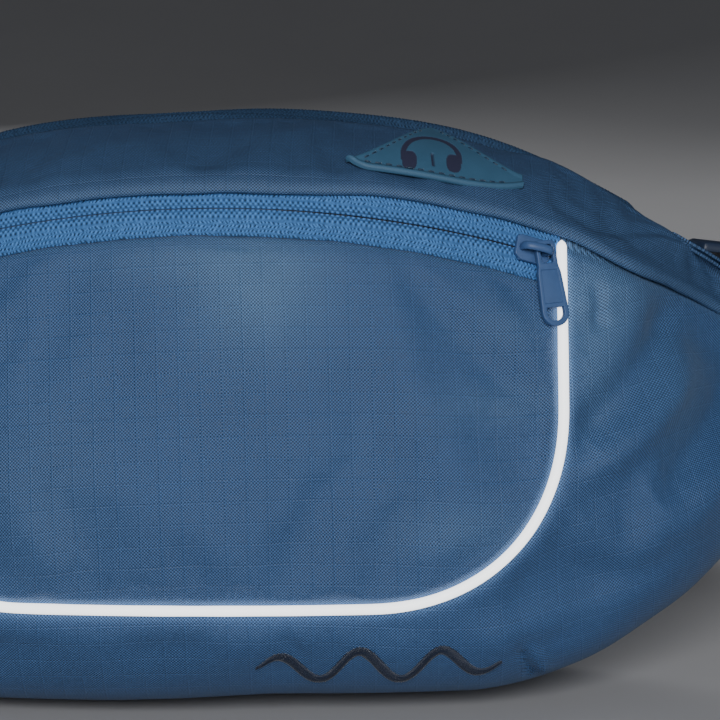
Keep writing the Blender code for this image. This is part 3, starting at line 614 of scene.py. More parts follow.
class Value:
    """A node's output that adds and multiplies like a number."""

    def __init__(self, tree, socket):
        self.tree = tree
        self.socket = socket

    def math(self, operation, other=0.0, third=0.0):
        node = self.tree.nodes.new("ShaderNodeMath")
        node.operation = operation
        for socket, value in zip(node.inputs, (self, other, third)):
            put(self.tree, socket, value)
        return Value(self.tree, node.outputs[0])

    def __add__(self, other):
        return self.math("ADD", other)

    def __mul__(self, other):
        return self.math("MULTIPLY", other)

    __radd__ = __add__
    __rmul__ = __mul__

    def wave(self, pitch):
        return (self * (math.tau / pitch)).math("SINE")

    def line(self, pitch, width):
        """1 on thin lines a pitch apart, 0 between them."""
        off = ((self * (1.0 / pitch)).math("FRACT") + -0.5).math("ABSOLUTE")
        node = self.tree.nodes.new("ShaderNodeMapRange")
        node.interpolation_type = "SMOOTHSTEP"
        put(self.tree, node.inputs["Value"], off)
        node.inputs["From Min"].default_value = width / pitch
        node.inputs["From Max"].default_value = 0.0
        return Value(self.tree, node.outputs[0])

    def tint(self, color):
        """The colour, darkened or lightened by this value."""
        node = self.tree.nodes.new("ShaderNodeVectorMath")
        node.operation = "SCALE"
        node.inputs[0].default_value = color
        put(self.tree, node.inputs["Scale"], self)
        return Value(self.tree, node.outputs[0])

    def mix(self, first, second):
        """From the first colour at 0 to the second at 1."""
        node = self.tree.nodes.new("ShaderNodeMix")
        node.data_type = "RGBA"
        for index, value in ((0, self), (6, first), (7, second)):
            put(self.tree, node.inputs[index], (*value, 1.0) if isinstance(value, tuple) else value)
        return Value(self.tree, node.outputs[2])


def put(tree, socket, value):
    if isinstance(value, Value):
        tree.links.new(value.socket, socket)
    else:
        socket.default_value = value


class Shading:
    """A material whose shader's constants are set at once, with its sources of pattern."""

    def __init__(self, name, roughness, **constants):
        self.material = bpy.data.materials.new(name)
        self.material.use_nodes = True
        self.tree = self.material.node_tree
        self.inputs = self.tree.nodes["Principled BSDF"].inputs
        self.inputs["Roughness"].default_value = roughness
        for socket, value in constants.items():
            self.inputs[socket.replace("_", " ")].default_value = value

    def grain(self):
        """The fabric's own coordinates in millimetres, and its tone value: wear and print on some pieces,
        painted shade and painted highlights on others.
        """
        node = self.tree.nodes.new("ShaderNodeAttribute")
        node.attribute_name = "grain"
        split = self.tree.nodes.new("ShaderNodeSeparateXYZ")
        self.tree.links.new(node.outputs["Vector"], split.inputs[0])
        return [Value(self.tree, output) for output in split.outputs]

    def noise(self, size, detail=2.0, stretched=None):
        """Noise with a grain size in millimetres, or over a pair of the fabric's own coordinates."""
        node = self.tree.nodes.new("ShaderNodeTexNoise")
        node.inputs["Scale"].default_value = 1.0 / size
        node.inputs["Detail"].default_value = detail
        if stretched:
            place = self.tree.nodes.new("ShaderNodeCombineXYZ")
            for socket, value in zip(place.inputs, stretched):
                put(self.tree, socket, value)
        else:
            place = self.tree.nodes.new("ShaderNodeTexCoord")
            node.inputs["Scale"].default_value /= MM
        self.tree.links.new(place.outputs["Vector" if stretched else "Object"], node.inputs["Vector"])
        return Value(self.tree, node.outputs[0])

    def finish(self, color, height, distance, strength, roughness=None):
        """Sets the colour, the relief as a bump of a depth in metres, and a roughness that varies."""
        put(self.tree, self.inputs["Base Color"], color)
        if roughness is not None:
            put(self.tree, self.inputs["Roughness"], roughness)
        node = self.tree.nodes.new("ShaderNodeBump")
        node.inputs["Strength"].default_value = strength
        node.inputs["Distance"].default_value = distance
        put(self.tree, node.inputs["Height"], height)
        self.tree.links.new(node.outputs[0], self.inputs["Normal"])
        return self.material


WEAVE_PITCH = 0.88
RIPSTOP_PITCH = 5.6
RIPSTOP_LINE = 0.26
RIPSTOP_GAP = 0.45
THREAD_SIZE = (0.5, 3.0)


def ripstop_material(name, color, worn_color, sheen=0.1):
    """Fine plain weave with a stronger thread every few millimetres each way, soft sheen and worn seams; the
    paler colour also paints highlights where the tone value is set.
    """
    shading = Shading(name, 0.5, Sheen_Weight=sheen, Sheen_Roughness=0.4,
                      Sheen_Tint=(0.66, 0.80, 1.0, 1.0), Specular_IOR_Level=0.3)
    u, v, tone = shading.grain()
    thin, long = (1.0 / size for size in THREAD_SIZE)
    uneven = (shading.noise(1.0, 1.0, (u * thin, v * long)) + shading.noise(1.0, 1.0, (u * long, v * thin)))
    weave = u.wave(WEAVE_PITCH) * v.wave(WEAVE_PITCH) * uneven
    lines, gaps = ((u + shift).line(RIPSTOP_PITCH, RIPSTOP_LINE).math(
        "MAXIMUM", (v + shift).line(RIPSTOP_PITCH, RIPSTOP_LINE)) for shift in (0.0, RIPSTOP_GAP))
    cloud = shading.noise(35.0)
    factor = 0.50 + weave * 0.78 + uneven * 0.34 + lines * 0.14 + gaps * -0.06 + cloud * 0.22
    # the tone value mixes in the paler colour: wear along seams, painted highlights on folds and the gusset's
    # hem
    colored = (tone * 0.8).mix(factor.tint(color), factor.tint(worn_color))
    height = weave * 0.5 + lines * 0.5 + gaps * -0.4
    return shading.finish(colored, height, 0.00016, 0.8, 0.45 + cloud * 0.1 + lines * -0.04)


def knit_material(name, color, painted_shade_color, sheen=0.15):
    """Zip tape: its knit's relief is in the mesh, with fine fuzz over it; its tone value paints shade into
    the gaps between stitches, the split and the grooves.
    """
    shading = Shading(name, 0.7, Sheen_Weight=sheen, Sheen_Roughness=0.5, Specular_IOR_Level=0.2)
    fuzz = shading.noise(0.45)
    factor = 0.62 + fuzz * 0.50 + shading.noise(9.0, 1.0) * 0.26
    return shading.finish(shading.grain()[2].mix(factor.tint(color), painted_shade_color), fuzz, 0.00012, 0.8)


def coil_material(name, color):
    """Nylon coil: smooth turns, painted a little darker between them as shade."""
    shading = Shading(name, 0.38, Specular_IOR_Level=0.5)
    turns = shading.grain()[0].wave(1.3)
    factor = 0.9 + turns * 0.12 + shading.noise(2.5) * 0.15
    return shading.finish(factor.tint(color), turns, 0.0001, 0.5)


def lacquer_material(name, color):
    """Lacquered slider metal: orange-peel gloss, faint scuffs that lighten it."""
    shading = Shading(name, 0.42, Coat_Weight=0.1, Coat_Roughness=0.3, Specular_IOR_Level=0.35)
    scuffs = shading.noise(2.5, 4.0)
    color = (0.86 + scuffs * 0.28).tint(color)
    return shading.finish(color, shading.noise(0.7), 0.00004, 0.5, 0.40 + scuffs * 0.22)


def rubber_material(name, color, print_and_shade_color):
    """Matt moulded rubber with a fine pebble, and a printed mark where the tone value is high; the same dark
    colour paints shade into the cable slit.
    """
    shading = Shading(name, 0.58, Specular_IOR_Level=0.4)
    pebble = shading.noise(0.35, 3.0)
    dust = shading.noise(6.0)
    tinted = (0.84 + pebble * 0.12 + dust * 0.2).tint(color)
    colored = shading.grain()[2].mix(tinted, print_and_shade_color)
    return shading.finish(colored, pebble, 0.00007, 0.6, 0.48 + dust * 0.2)


def reflective_material(name, color, scuffed_color, painted_glow):
    """Retroreflective piping: tiny glass beads under a clear skin; its emission is painted light, a glow as
    if lit by a flash.
    """
    shading = Shading(name, 0.45, Specular_IOR_Level=0.5, Emission_Color=(0.95, 0.97, 1.0, 1.0),
                      Emission_Strength=painted_glow)
    beads = shading.noise(0.16)
    tinted = (0.86 + beads * 0.1 + shading.noise(7.0, 3.0) * 0.16).tint(color)
    return shading.finish(shading.grain()[2].mix(tinted, scuffed_color), beads, 0.00003, 0.5)


def webbing_material(name, color, worn_color):
    """Woven webbing: ribs across the strap, crossed by rows of fine warp threads."""
    shading = Shading(name, 0.66, Sheen_Weight=0.3, Sheen_Roughness=0.5, Specular_IOR_Level=0.35)
    u, v, tone = shading.grain()
    cross_ribs = u.wave(1.5)
    chevron = (u + v * 0.35).wave(1.5) * v.wave(0.8)
    fuzz = shading.noise(0.6)
    tinted = (0.62 + cross_ribs * 0.14 + chevron * 0.22 + fuzz * 0.6).tint(color)
    height = cross_ribs * 0.4 + chevron * 0.5 + fuzz * 0.4
    return shading.finish((tone * 0.5).mix(tinted, worn_color), height, 0.0003, 0.9)


def plastic_material(name, color):
    """Moulded acetal: satin skin with a fine spark texture, lighter on rubbed edges and darker in its
    hollows.
    """
    shading = Shading(name, 0.4, Specular_IOR_Level=0.5)
    patches = shading.noise(5.0, 3.0)
    edge = Value(shading.tree, shading.tree.nodes.new("ShaderNodeNewGeometry").outputs["Pointiness"])
    tinted = (0.82 + patches * 0.35 + (edge + -0.5) * 3.0).tint(color)
    return shading.finish(tinted, shading.noise(0.4, 3.0), 0.00006, 0.5, 0.3 + patches * 0.2)


def mesh_material(name, color):
    """Spacer mesh: rows of small round holes, painted darker inside as shade."""
    shading = Shading(name, 0.8, Sheen_Weight=0.25, Sheen_Roughness=0.6, Specular_IOR_Level=0.25)
    u, v = shading.grain()[:2]
    holes = (u.wave(2.6) * v.wave(1.5)).math("ABSOLUTE").math("SMOOTH_MIN", 0.55, 0.1)
    fuzz = shading.noise(0.5)
    tinted = (1.25 + holes * -1.5 + fuzz * 0.4).tint(color)
    return shading.finish(tinted, holes * -1.0 + fuzz * 0.3, 0.0006, 0.9)


def lining_material(name, color):
    """Plain woven lining cloth."""
    shading = Shading(name, 0.75, Sheen_Weight=0.2, Sheen_Roughness=0.5)
    u, v = shading.grain()[:2]
    weave = u.wave(0.5) * v.wave(0.5)
    tinted = (0.85 + weave * 0.14 + shading.noise(20.0, 3.0) * 0.3).tint(color)
    return shading.finish(tinted, weave, 0.0001, 0.6)


def thread_material(name, color):
    """Twisted polyester thread with a silky highlight."""
    shading = Shading(name, 0.42, Sheen_Weight=0.4, Sheen_Roughness=0.3, Specular_IOR_Level=0.5)
    strand = shading.noise(0.4)
    return shading.finish((0.7 + strand * 0.6).tint(color), strand, 0.00008, 0.7)


# second colour: the paler tone of worn seams, also used for painted highlights
RIPSTOP = ripstop_material("ripstop_blue", (0.044, 0.102, 0.232), (0.088, 0.175, 0.320))
# a darker copy of the front ripstop for the gusset and back panel: its darkness is painted shade for surfaces
# turned away from the key light
SHADED_RIPSTOP = ripstop_material("ripstop_deep_blue", (0.044, 0.092, 0.192), (0.075, 0.150, 0.290), 0.0)
TAPE = knit_material("zip_tape_blue", (0.085, 0.275, 0.680), (0.008, 0.034, 0.085))
# a darker copy of the zip tape: painted shade for the main zip's tapes along the ridge
RIDGE_TAPE = knit_material("zip_tape_shaded_blue", (0.042, 0.092, 0.190), (0.010, 0.024, 0.052), 0.0)
COIL = coil_material("zip_coil_blue", (0.040, 0.150, 0.330))
LACQUER = lacquer_material("zip_pull_blue", (0.050, 0.110, 0.262))
RUBBER = rubber_material("port_rubber", (0.042, 0.118, 0.205), (0.030, 0.025, 0.058))
# the piping's emission is painted light for the flash's bright return
REFLECTIVE = reflective_material("reflective_tape", (0.82, 0.84, 0.87), (0.25, 0.28, 0.32), 1.9)
WEBBING = webbing_material("webbing_navy", (0.018, 0.030, 0.062), (0.05, 0.07, 0.11))
PLASTIC = plastic_material("buckle_navy", (0.016, 0.028, 0.060))
SPACER = mesh_material("spacer_mesh", (0.042, 0.066, 0.118))
LINING = lining_material("lining_grey", (0.20, 0.21, 0.22))
THREAD = thread_material("navy_thread", (0.010, 0.018, 0.042))
PORT_THREAD = thread_material("port_thread", (0.012, 0.036, 0.075))


def dress(obj, mat, slot, body, *nodes):
    """Gives a piece its material and puts it in place of its CAD nodes; the slot argument is not used."""
    obj.data.materials.clear()
    obj.data.materials.append(mat)
    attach(obj, body)
    if nodes:
        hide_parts(*nodes)
    return obj


# ---- pocket, wrap and gusset


def section_tables():
    """Cloth coordinates of the front surface: arc length round the belly, and down each section."""
    xs = np.linspace(-HALF_WIDTH, HALF_WIDTH, 313)
    vs = np.linspace(0.0, 1.0, 241)
    points = body_point(xs[:, None], vs[None, :])
    around = arc_lengths(body_point(xs[:, None], np.array([[V_BELLY]])), 0)[:, 0]
    down = arc_lengths(points, 1)
    at_belly = np.array([np.interp(V_BELLY, vs, section) for section in down])
    return xs, vs, around, down - at_belly[:, None]


SECTION = section_tables()


def front_grain(x, v):
    """Where a point of the front surface lies on its cloth, in metres."""
    xs, vs, around, down = SECTION
    at_x = np.clip((x + HALF_WIDTH) / (2.0 * HALF_WIDTH) * (len(xs) - 1), 0, len(xs) - 1.001)
    at_v = np.clip(v * (len(vs) - 1), 0, len(vs) - 1.001)
    i, j = at_x.astype(int), at_v.astype(int)
    a, b = at_x - i, at_v - j
    lower = lerp(down[i, j], down[i + 1, j], a)
    upper = lerp(down[i, j + 1], down[i + 1, j + 1], a)
    return np.interp(x, xs, around), lerp(lower, upper, b)


def outline_distance(x, z):
    """Distance from points of the front, seen from ahead, to the piping's line."""
    t = np.linspace(0.0, 1.0, 160)
    best = np.full(np.shape(x), 1.0)
    for side, size in ((-1.0, LEFT_CORNER), (1.0, CORNER)):
        for line_x, line_z in zip(*outline_point(t, 0.0, size)):
            best = np.minimum(best, np.hypot(x - side * line_x, z - line_z))
    return best


CLOTH = 0.0009
GUSSET_THICKNESS = 0.0008
DIVIDER_THICKNESS = 0.0006
LINING_THICKNESS = 0.0005
TAPE_THICKNESS = 0.00045
PORT_THICKNESS = 0.0016
KEEPER_THICKNESS = 0.0011
SEAM_DIP = 0.0016
SEAM_DIP_WIDTH = 0.0045
SEAM_WORN_WIDTH = 0.004
POCKET_GRAIN_TILT = math.radians(1.6)
WRAP_GRAIN_TILT = math.radians(3.0)

# pressure, spare cloth as a share of its width, and how far a point may move
POCKET_SIM = (0.35, 0.012, 0.0022)
WRAP_SIM = (0.45, 0.014, 0.0032)
GUSSET_SIM = (0.25, 0.010, 0.0018)
PAD_SIM = (4.0, 0.0, 0.0035, 0.5)

# start, end, width, height, bow
POCKET_FOLDS = (
    ((0.090, 0.105), (0.030, 0.116), 0.006, 0.0010, 0.05),
    ((0.091, 0.094), (0.040, 0.100), 0.005, -0.0009, 0.06),
    ((0.090, 0.083), (0.045, 0.082), 0.006, 0.0012, 0.05),
    ((0.086, 0.070), (0.050, 0.062), 0.006, -0.0010, -0.04),
    ((0.080, 0.058), (0.048, 0.050), 0.005, 0.0009, -0.04),
    ((0.010, 0.122), (0.016, 0.104), 0.009, 0.0012, 0.0),
    ((0.058, 0.118), (0.024, 0.112), 0.007, -0.0009, 0.05),
    ((-0.052, 0.060), (-0.040, 0.044), 0.007, 0.0012, 0.0),
    ((-0.090, 0.100), (-0.040, 0.112), 0.006, 0.0010, -0.05),
    ((-0.088, 0.084), (-0.046, 0.078), 0.006, -0.0010, 0.05),
    ((-0.084, 0.064), (-0.050, 0.054), 0.006, 0.0010, 0.04),
)

# start, end, width, height, bow
WRAP_FOLDS = (
    ((0.0966, 0.0794), (0.1246, 0.1103), 0.0060, -0.0038, 0.05),
    ((0.100, 0.0705), (0.1275, 0.0915), 0.0055, 0.0034, 0.05),
    ((0.124, 0.066), (0.146, 0.092), 0.0050, -0.0021, 0.04),
    ((0.096, 0.112), (0.118, 0.120), 0.0045, 0.0018, -0.03),
    ((0.100, 0.1165), (0.102, 0.106), 0.0020, -0.0014, 0.0),
    ((0.112, 0.048), (0.140, 0.066), 0.0060, 0.0016, 0.05),
    ((0.094, 0.044), (0.120, 0.040), 0.0060, -0.0014, 0.05),
    ((0.072, 0.024), (0.104, 0.030), 0.0055, 0.0014, -0.04),
    ((-0.098, 0.084), (-0.128, 0.102), 0.0055, -0.0023, -0.05),
    ((-0.106, 0.070), (-0.138, 0.092), 0.0055, 0.0023, -0.05),
    ((-0.104, 0.052), (-0.136, 0.066), 0.0060, -0.0016, 0.04),
    ((-0.096, 0.110), (-0.120, 0.112), 0.0045, 0.0015, 0.03),
    ((-0.070, 0.024), (-0.104, 0.032), 0.0055, 0.0014, 0.04),
)

# sewn-in puckers under the slider's end and at the right foot
WRAP_DARTS = (
    ((0.1015, 0.118), (0.1022, 0.108), 0.0016, -0.0010),
    ((0.0815, 0.0205), (0.0845, 0.0115), 0.0012, -0.0018),
    ((0.0840, 0.0215), (0.0880, 0.0125), 0.0018, 0.0012),
)

# painted highlights: pale patches where the pocket's folds catch the light; x, z, half-width, half-height,
# amount
POCKET_HIGHLIGHTS = (
    (0.011, 0.118, 0.017, 0.015, 1.0),
    (-0.004, 0.126, 0.030, 0.006, 0.5),
    (-0.044, 0.066, 0.018, 0.024, 0.22),
    (0.074, 0.088, 0.018, 0.006, 0.35),
    (0.066, 0.056, 0.020, 0.007, 0.35),
    (0.080, 0.108, 0.014, 0.006, 0.30),
)

# painted highlights: pale patches where the wrap's folds catch the light; x, z, half-width, half-height,
# amount
WRAP_HIGHLIGHTS = (
    (0.103, 0.116, 0.017, 0.013, 1.0),
    (0.101, 0.096, 0.008, 0.018, 0.6),
    (0.126, 0.088, 0.010, 0.014, 0.4),
    (-0.104, 0.108, 0.014, 0.018, 0.5),
)


def painted_highlights(x, z, listed):
    """How much the cloth is painted paler as a highlight, from soft oval patches."""
    return sum(amount * np.exp(-((x - px) / wide) ** 2 - ((z - pz) / tall) ** 2)
               for px, pz, wide, tall, amount in listed)


def folds(x, z, listed):
    return sum(fold(x, z, *entry) for entry in listed)


POCKET_GRID = (211, 121)


def dip(distance, width, depth):
    """How deep cloth is drawn in beside a seam."""
    return -depth * near(distance, width) ** 2


def build_pocket_panel():
    across = column(-1.0, 1.0, POCKET_GRID[0])
    x = PIPING_X * lerp(across, np.sin(across * QUARTER), 0.5)
    edge_wave = 0.00025 * ripple(x, 0.0, 0.022, 5)
    top = seam_point(x, -BAND_WIDTH - 0.0004 + edge_wave)[..., 2]
    corner = np.where(x < 0.0, LEFT_CORNER, CORNER)
    reach = clamp((np.abs(x) - (PIPING_X - corner)) / corner)
    foot = PIPING_Z + corner - corner * (1.0 - reach ** CORNER_POWER) ** (1.0 / CORNER_POWER)
    z = lerp(foot, top, row(0.0, 1.0, POCKET_GRID[1]))
    x = np.broadcast_to(x, z.shape)
    v = v_at_height(x, z)
    points = body_point(x, v)
    normal = grid_normals(points)
    sewn = outline_distance(x, z)
    hem = top - z
    height = dip(sewn, SEAM_DIP_WIDTH, SEAM_DIP) + dip(hem, 0.0012, 0.0011)
    height = height + 0.0004 * bump((hem - 0.0020) / 0.0018)
    free = smoothstep(sewn / 0.012) * smoothstep(hem / 0.010)
    height = height + free * (folds(x, z, POCKET_FOLDS) + 0.00022 * ripple(x, z * 1.5, 0.030, 8))
    points = points + height[..., None] * normal
    shift = slack(points, *POCKET_SIM)
    points = points + shift * (smoothstep(sewn / 0.006) * smoothstep(hem / 0.005))[..., None]
    u, w = turned(*front_grain(x, v), POCKET_GRAIN_TILT)
    worn = np.maximum(near(sewn, SEAM_WORN_WIDTH), bump((hem - 0.0008) / 0.0012))
    # seams and hem are paler from wear; the patches added here are painted highlights
    worn = np.minimum(0.6 * worn + painted_highlights(x, z, POCKET_HIGHLIGHTS), 1.0)
    panel = grid_piece("front_pocket_panel_cloth", points, u, w, worn)
    solidify(panel, CLOTH)
    return dress(panel, RIPSTOP, "ripstop_blue", "root", "front_pocket_panel")


WRAP_GRID = (421, 61)
OUTER_X = 0.1556
FLOOR_GAP = 0.0003
UNDER_HEM_V = V_BAND * UNDER_HEM / BAND_WIDTH
CLOSING_Y = BACK_Y + 0.0014
CLOSING_X = HALF_WIDTH + 0.0001
CLOSING = (0.12, 0.3, 0.5, 0.7, 0.88, 1.0)


def wrap_place(t, w):
    """Side and bottom of the bag for t from one top end (-1) under the middle (0) to the other (1)."""
    side = np.sign(t)
    u = 1.0 - np.abs(t)
    inner_x, inner_z = outline_point(u, 0.0, np.where(side < 0.0, LEFT_CORNER, CORNER))
    inner_v = v_at_height(inner_x, inner_z)
    outer_x = np.where(u < 0.5, OUTER_X, OUTER_X * (1.0 - (u - 0.5) / 0.5))
    outer_v = np.where(u < 0.5, u / 0.5, 1.0)
    spread = w ** 1.06
    v = lerp(inner_v, outer_v, spread) - UNDER_HEM_V * clamp(1.0 - u / 0.05) ** 2
    return side * lerp(inner_x, outer_x, spread), np.clip(v, -UNDER_HEM_V, 1.0)


def closing_strips(edge, at_end=1.0):
    """Copies of a panel's edge that lead it back over the back panel's rim."""
    target = edge.copy()
    target[..., 0] = lerp(edge[..., 0], np.sign(edge[..., 0]) * CLOSING_X, at_end)
    target[..., 1] = CLOSING_Y
    return [lerp(edge, target, share) for share in CLOSING]


def build_wrap_panel():
    x, v = wrap_place(column(1.0, -1.0, WRAP_GRID[0]), row(0.0, 1.0, WRAP_GRID[1]))
    points = body_point(x, v)
    normal = grid_normals(points)
    z = points[..., 2]
    sewn = outline_distance(x, z)
    seam = np.where(v < 0.0, 0.0, np.linalg.norm(points - seam_point(x), axis=-1))
    end = HALF_WIDTH - np.abs(x)
    heel = np.linalg.norm(points - body_point(x, 1.0), axis=-1)
    free = smoothstep(sewn / 0.010) * smoothstep(seam / 0.008) * smoothstep(end / 0.012)
    front = smoothstep((0.030 - points[..., 1]) / 0.02)
    free = free * smoothstep(heel / 0.012) * front
    free = free * lerp(0.12, 1.0, smoothstep((z - underside_z(x) - 0.010) / 0.016))
    height = dip(sewn, SEAM_DIP_WIDTH, SEAM_DIP) + dip(seam, 0.0035, 0.0020)
    height = height + free * (folds(x, z, WRAP_FOLDS) + 0.0004 * ripple(x, z * 1.3, 0.034, 21))
    points = points + (height + folds(x, z, WRAP_DARTS))[..., None] * normal
    points[..., 2] = np.maximum(points[..., 2], FLOOR_GAP)
    points = points + slack(points, *WRAP_SIM) * free[..., None]
    points[..., 2] = np.maximum(points[..., 2], FLOOR_GAP)
    tilt = WRAP_GRAIN_TILT * smoothstep((np.abs(x) - 0.05) / 0.05) * np.sign(x)
    u, w = turned(*front_grain(x, v), tilt)
    worn = np.maximum(near(sewn, SEAM_WORN_WIDTH), near(seam, 0.003))
    worn = np.maximum(worn, 0.8 * near(end, 0.004))
    # seams and ends are paler from wear; the patches added here are painted highlights
    worn = np.minimum(0.6 * worn + front * painted_highlights(x, z, WRAP_HIGHLIGHTS), 1.0)
    edge = points[:, -1:]
    at_end = smoothstep((np.abs(edge[..., 0]) - 0.150) / 0.005)
    points = np.concatenate([points] + closing_strips(edge, at_end), 1)
    u, w, worn = (np.pad(value, ((0, 0), (0, len(CLOSING))), "edge") for value in (u, w, worn))
    w[:, -len(CLOSING):] += np.array(CLOSING) * 0.012
    panel = grid_piece("wrap_panel_cloth", points, u, w, worn)
    solidify(panel, CLOTH)
    return dress(panel, RIPSTOP, "ripstop_blue", "root", "wrap_panel")


def hem_rise(x):
    """How far the gusset's hem sits up from the seam: a little at the left, more towards the slider."""
    return 0.0005 + 0.0023 * smoothstep((x - 0.015) / 0.035) * (1.0 - smoothstep((x - 0.092) / 0.018))


def back_drop(x):
    """How far the back panel's upper edge drops behind the ridge beyond the main zip."""
    return 0.0013 * smoothstep((np.abs(x) - 0.112) / 0.012)


# along the bag and across the gusset: start, end, width, height
GUSSET_FOLDS = (
    ((0.104, 0.10), (0.128, 0.55), 0.0040, 0.0011),
    ((0.114, 0.02), (0.140, 0.50), 0.0045, -0.0005),
    ((-0.104, 0.10), (-0.128, 0.55), 0.0040, 0.0010),
)
GUSSET_GRID = (331, 46)
HEM_ROWS = 7
HEM_ROLL = 0.0010
HEM_OUT = 0.0017
HEM_RISE_SPAN = 0.039


def build_gusset():
    x = column(-1.0, 1.0, GUSSET_GRID[0]) * END_X
    g = lerp(hem_rise(x) / HEM_RISE_SPAN, 1.0, row(0.0, 1.0, GUSSET_GRID[1]))
    points = gusset_point(x, g)
    normal = grid_normals(points)
    low = np.linalg.norm(points - points[:, :1], axis=-1)
    along = arc_lengths(points, 0)
    end = HALF_WIDTH - np.abs(x)
    lift = HEM_OUT * smoothstep(end / 0.05) * near(low, 0.010) + 0.0003 * bump((low - 0.0015) / 0.0022)
    free = smoothstep(low / 0.008) * smoothstep((1.0 - g) / 0.12) * smoothstep(end / 0.012)
    soft = 0.0005 * ripple(along, low, 0.040, 31) + 0.00018 * ripple(along, low * 0.4, 0.011, 33)
    points = points + (lift + free * (soft + folds(x, g, GUSSET_FOLDS)))[..., None] * normal
    points = points + slack(points, *GUSSET_SIM) * free[..., None]
    wave = 0.0003 * ripple(along[:, :1], 0.0, 0.020, 36) + 0.0004
    down = unit(points[:, :1] - points[:, 1:2])
    turn = np.linspace(0.0, math.pi, HEM_ROWS + 1)[None, :0:-1]
    radius = np.broadcast_to(HEM_ROLL * smoothstep(end / 0.02), (len(x), 1))
    rolled = (points[:, :1] + down * (wave + radius * np.sin(turn))[..., None]
              + normal[:, :1] * (radius * (np.cos(turn) - 1.0))[..., None])
    points = np.concatenate((rolled, points), 1)
    # the rolled hem and the strip above it are paler: edge wear and a painted highlight on the roll
    worn = np.concatenate((np.full(rolled.shape[:2], 1.0), near(low, 0.0016)), 1)
    points = np.concatenate(closing_strips(points[:1])[::-1] + [points] + closing_strips(points[-1:]), 0)
    worn = np.pad(worn, ((len(CLOSING), len(CLOSING)), (0, 0)), "edge")
    panel = grid_piece("top_gusset_panel", points, None, None, 0.55 * worn)
    panel = merged("top_gusset_cloth", [panel, ridge_end(-1.0), ridge_end(1.0)])
    solidify(panel, GUSSET_THICKNESS)
    return dress(panel, SHADED_RIPSTOP, "ripstop_deep_blue", "root", "top_gusset")


def ridge_end(side):
    """The gusset's turned-over top beyond an end of the main zip, down to the back panel."""
    x = side * column(MAIN_ZIP_END_X - 0.005, END_X, 60)
    share = row(0.0, 1.0, 11)
    front, back = gusset_point(x, 0.985), back_point(x, BACK_TOP)
    front[..., 2] -= 0.0007
    back[..., 2] += BACK_HEM_LIFT - back_drop(x)
    points = lerp(front, back, share[..., None])
    under_tape = near(np.abs(x) - MAIN_ZIP_END_X + 0.004, 0.008)
    crown = 0.0008 * smoothstep((HALF_WIDTH - np.abs(x)) / 0.02) - 0.0014
    points[..., 2] += crown * np.sin(math.pi * share) - 0.0030 * under_tape * np.sin(math.pi * share) ** 0.5
    cap = grid_piece("ridge_end", points)
    flip_if_inward(cap, (0.0, 0.0, 1.0))
    return cap


def build_back_panel():
    x = column(1.0, -1.0, 181) * END_X
    v = row(0.0, BACK_TOP, 91)
    points = back_point(x, v)
    points[..., 2] += (BACK_HEM_LIFT - back_drop(x)) * smoothstep((v - 0.9) / 0.1)
    z = points[..., 2]
    edge = np.minimum(np.minimum(HALF_WIDTH - np.abs(x), z - underside_z(x)), ridge_z(x) - z)
    wide = np.broadcast_to(x, z.shape)
    points[..., 1] += smoothstep(edge / 0.014) * 0.0007 * ripple(wide, z, 0.038, 41)
    points[..., 1] += dip(edge, 0.003, 0.0012)
    panel = grid_piece("back_panel_cloth", points, None, None, 0.25 * near(edge, 0.003))
    flip_if_inward(panel, (0.0, 1.0, 0.0))
    solidify(panel, CLOTH)
    return dress(panel, SHADED_RIPSTOP, "ripstop_deep_blue", "root", "back_panel")


# ---- piping


def build_piping():
    t = np.linspace(-0.006, 1.0, 150)
    right = np.stack(outline_point(t, 0.0), -1)
    left = np.stack(outline_point(t[::-1], 0.0, LEFT_CORNER), -1) * (-1.0, 1.0)
    path = front_surface(*np.concatenate((right, left[1:]), 0).T, 0.0002)
    length = run_length(path)
    ends = np.minimum(length, length[-1] - length)
    radius = PIPING_RADIUS * np.sqrt(np.clip(ends / PIPING_RADIUS, 0.02, 1.0))
    radius = radius * (1.0 + 0.02 * ripple(length, 0.0, 0.016, 51))
    piping = tube("reflective_piping_tube", path, radius, 18)
    return dress(piping, REFLECTIVE, "reflective_tape", "root", "reflective_piping")


# ---- zips

KNIT_PITCH = 0.00104
KNIT_ROW = 0.00112
HERRINGBONE = 0.0030
STITCH_PITCH = 0.0014
STITCH_ROWS = ((0.00042, 0.00022, 0.5), (0.00135, 0.00026, 0.0), (0.0022, 0.00036, 0.5))
TAPE_TOP = -0.00085
TAPE_ROW = 0.00022
SPLIT_GAP = 0.00004
ZIP_OVERRUN = 0.002
COIL_SHORT = 0.004
TAPE_END_SINK = 0.0032
TAPE_STEPS = {FRONT_ZIP: 901, MAIN_ZIP: 1001}
COIL_PITCH = 0.0013
COIL_RADIUS = 0.00078
COIL_DEEP = 0.0030
COIL_OFFSET = 0.00175
STOP_SIZE = (0.0022, 0.0016, 0.0030)
STOP_DEEP = 0.0028
SLIDER_HALF = 0.0038


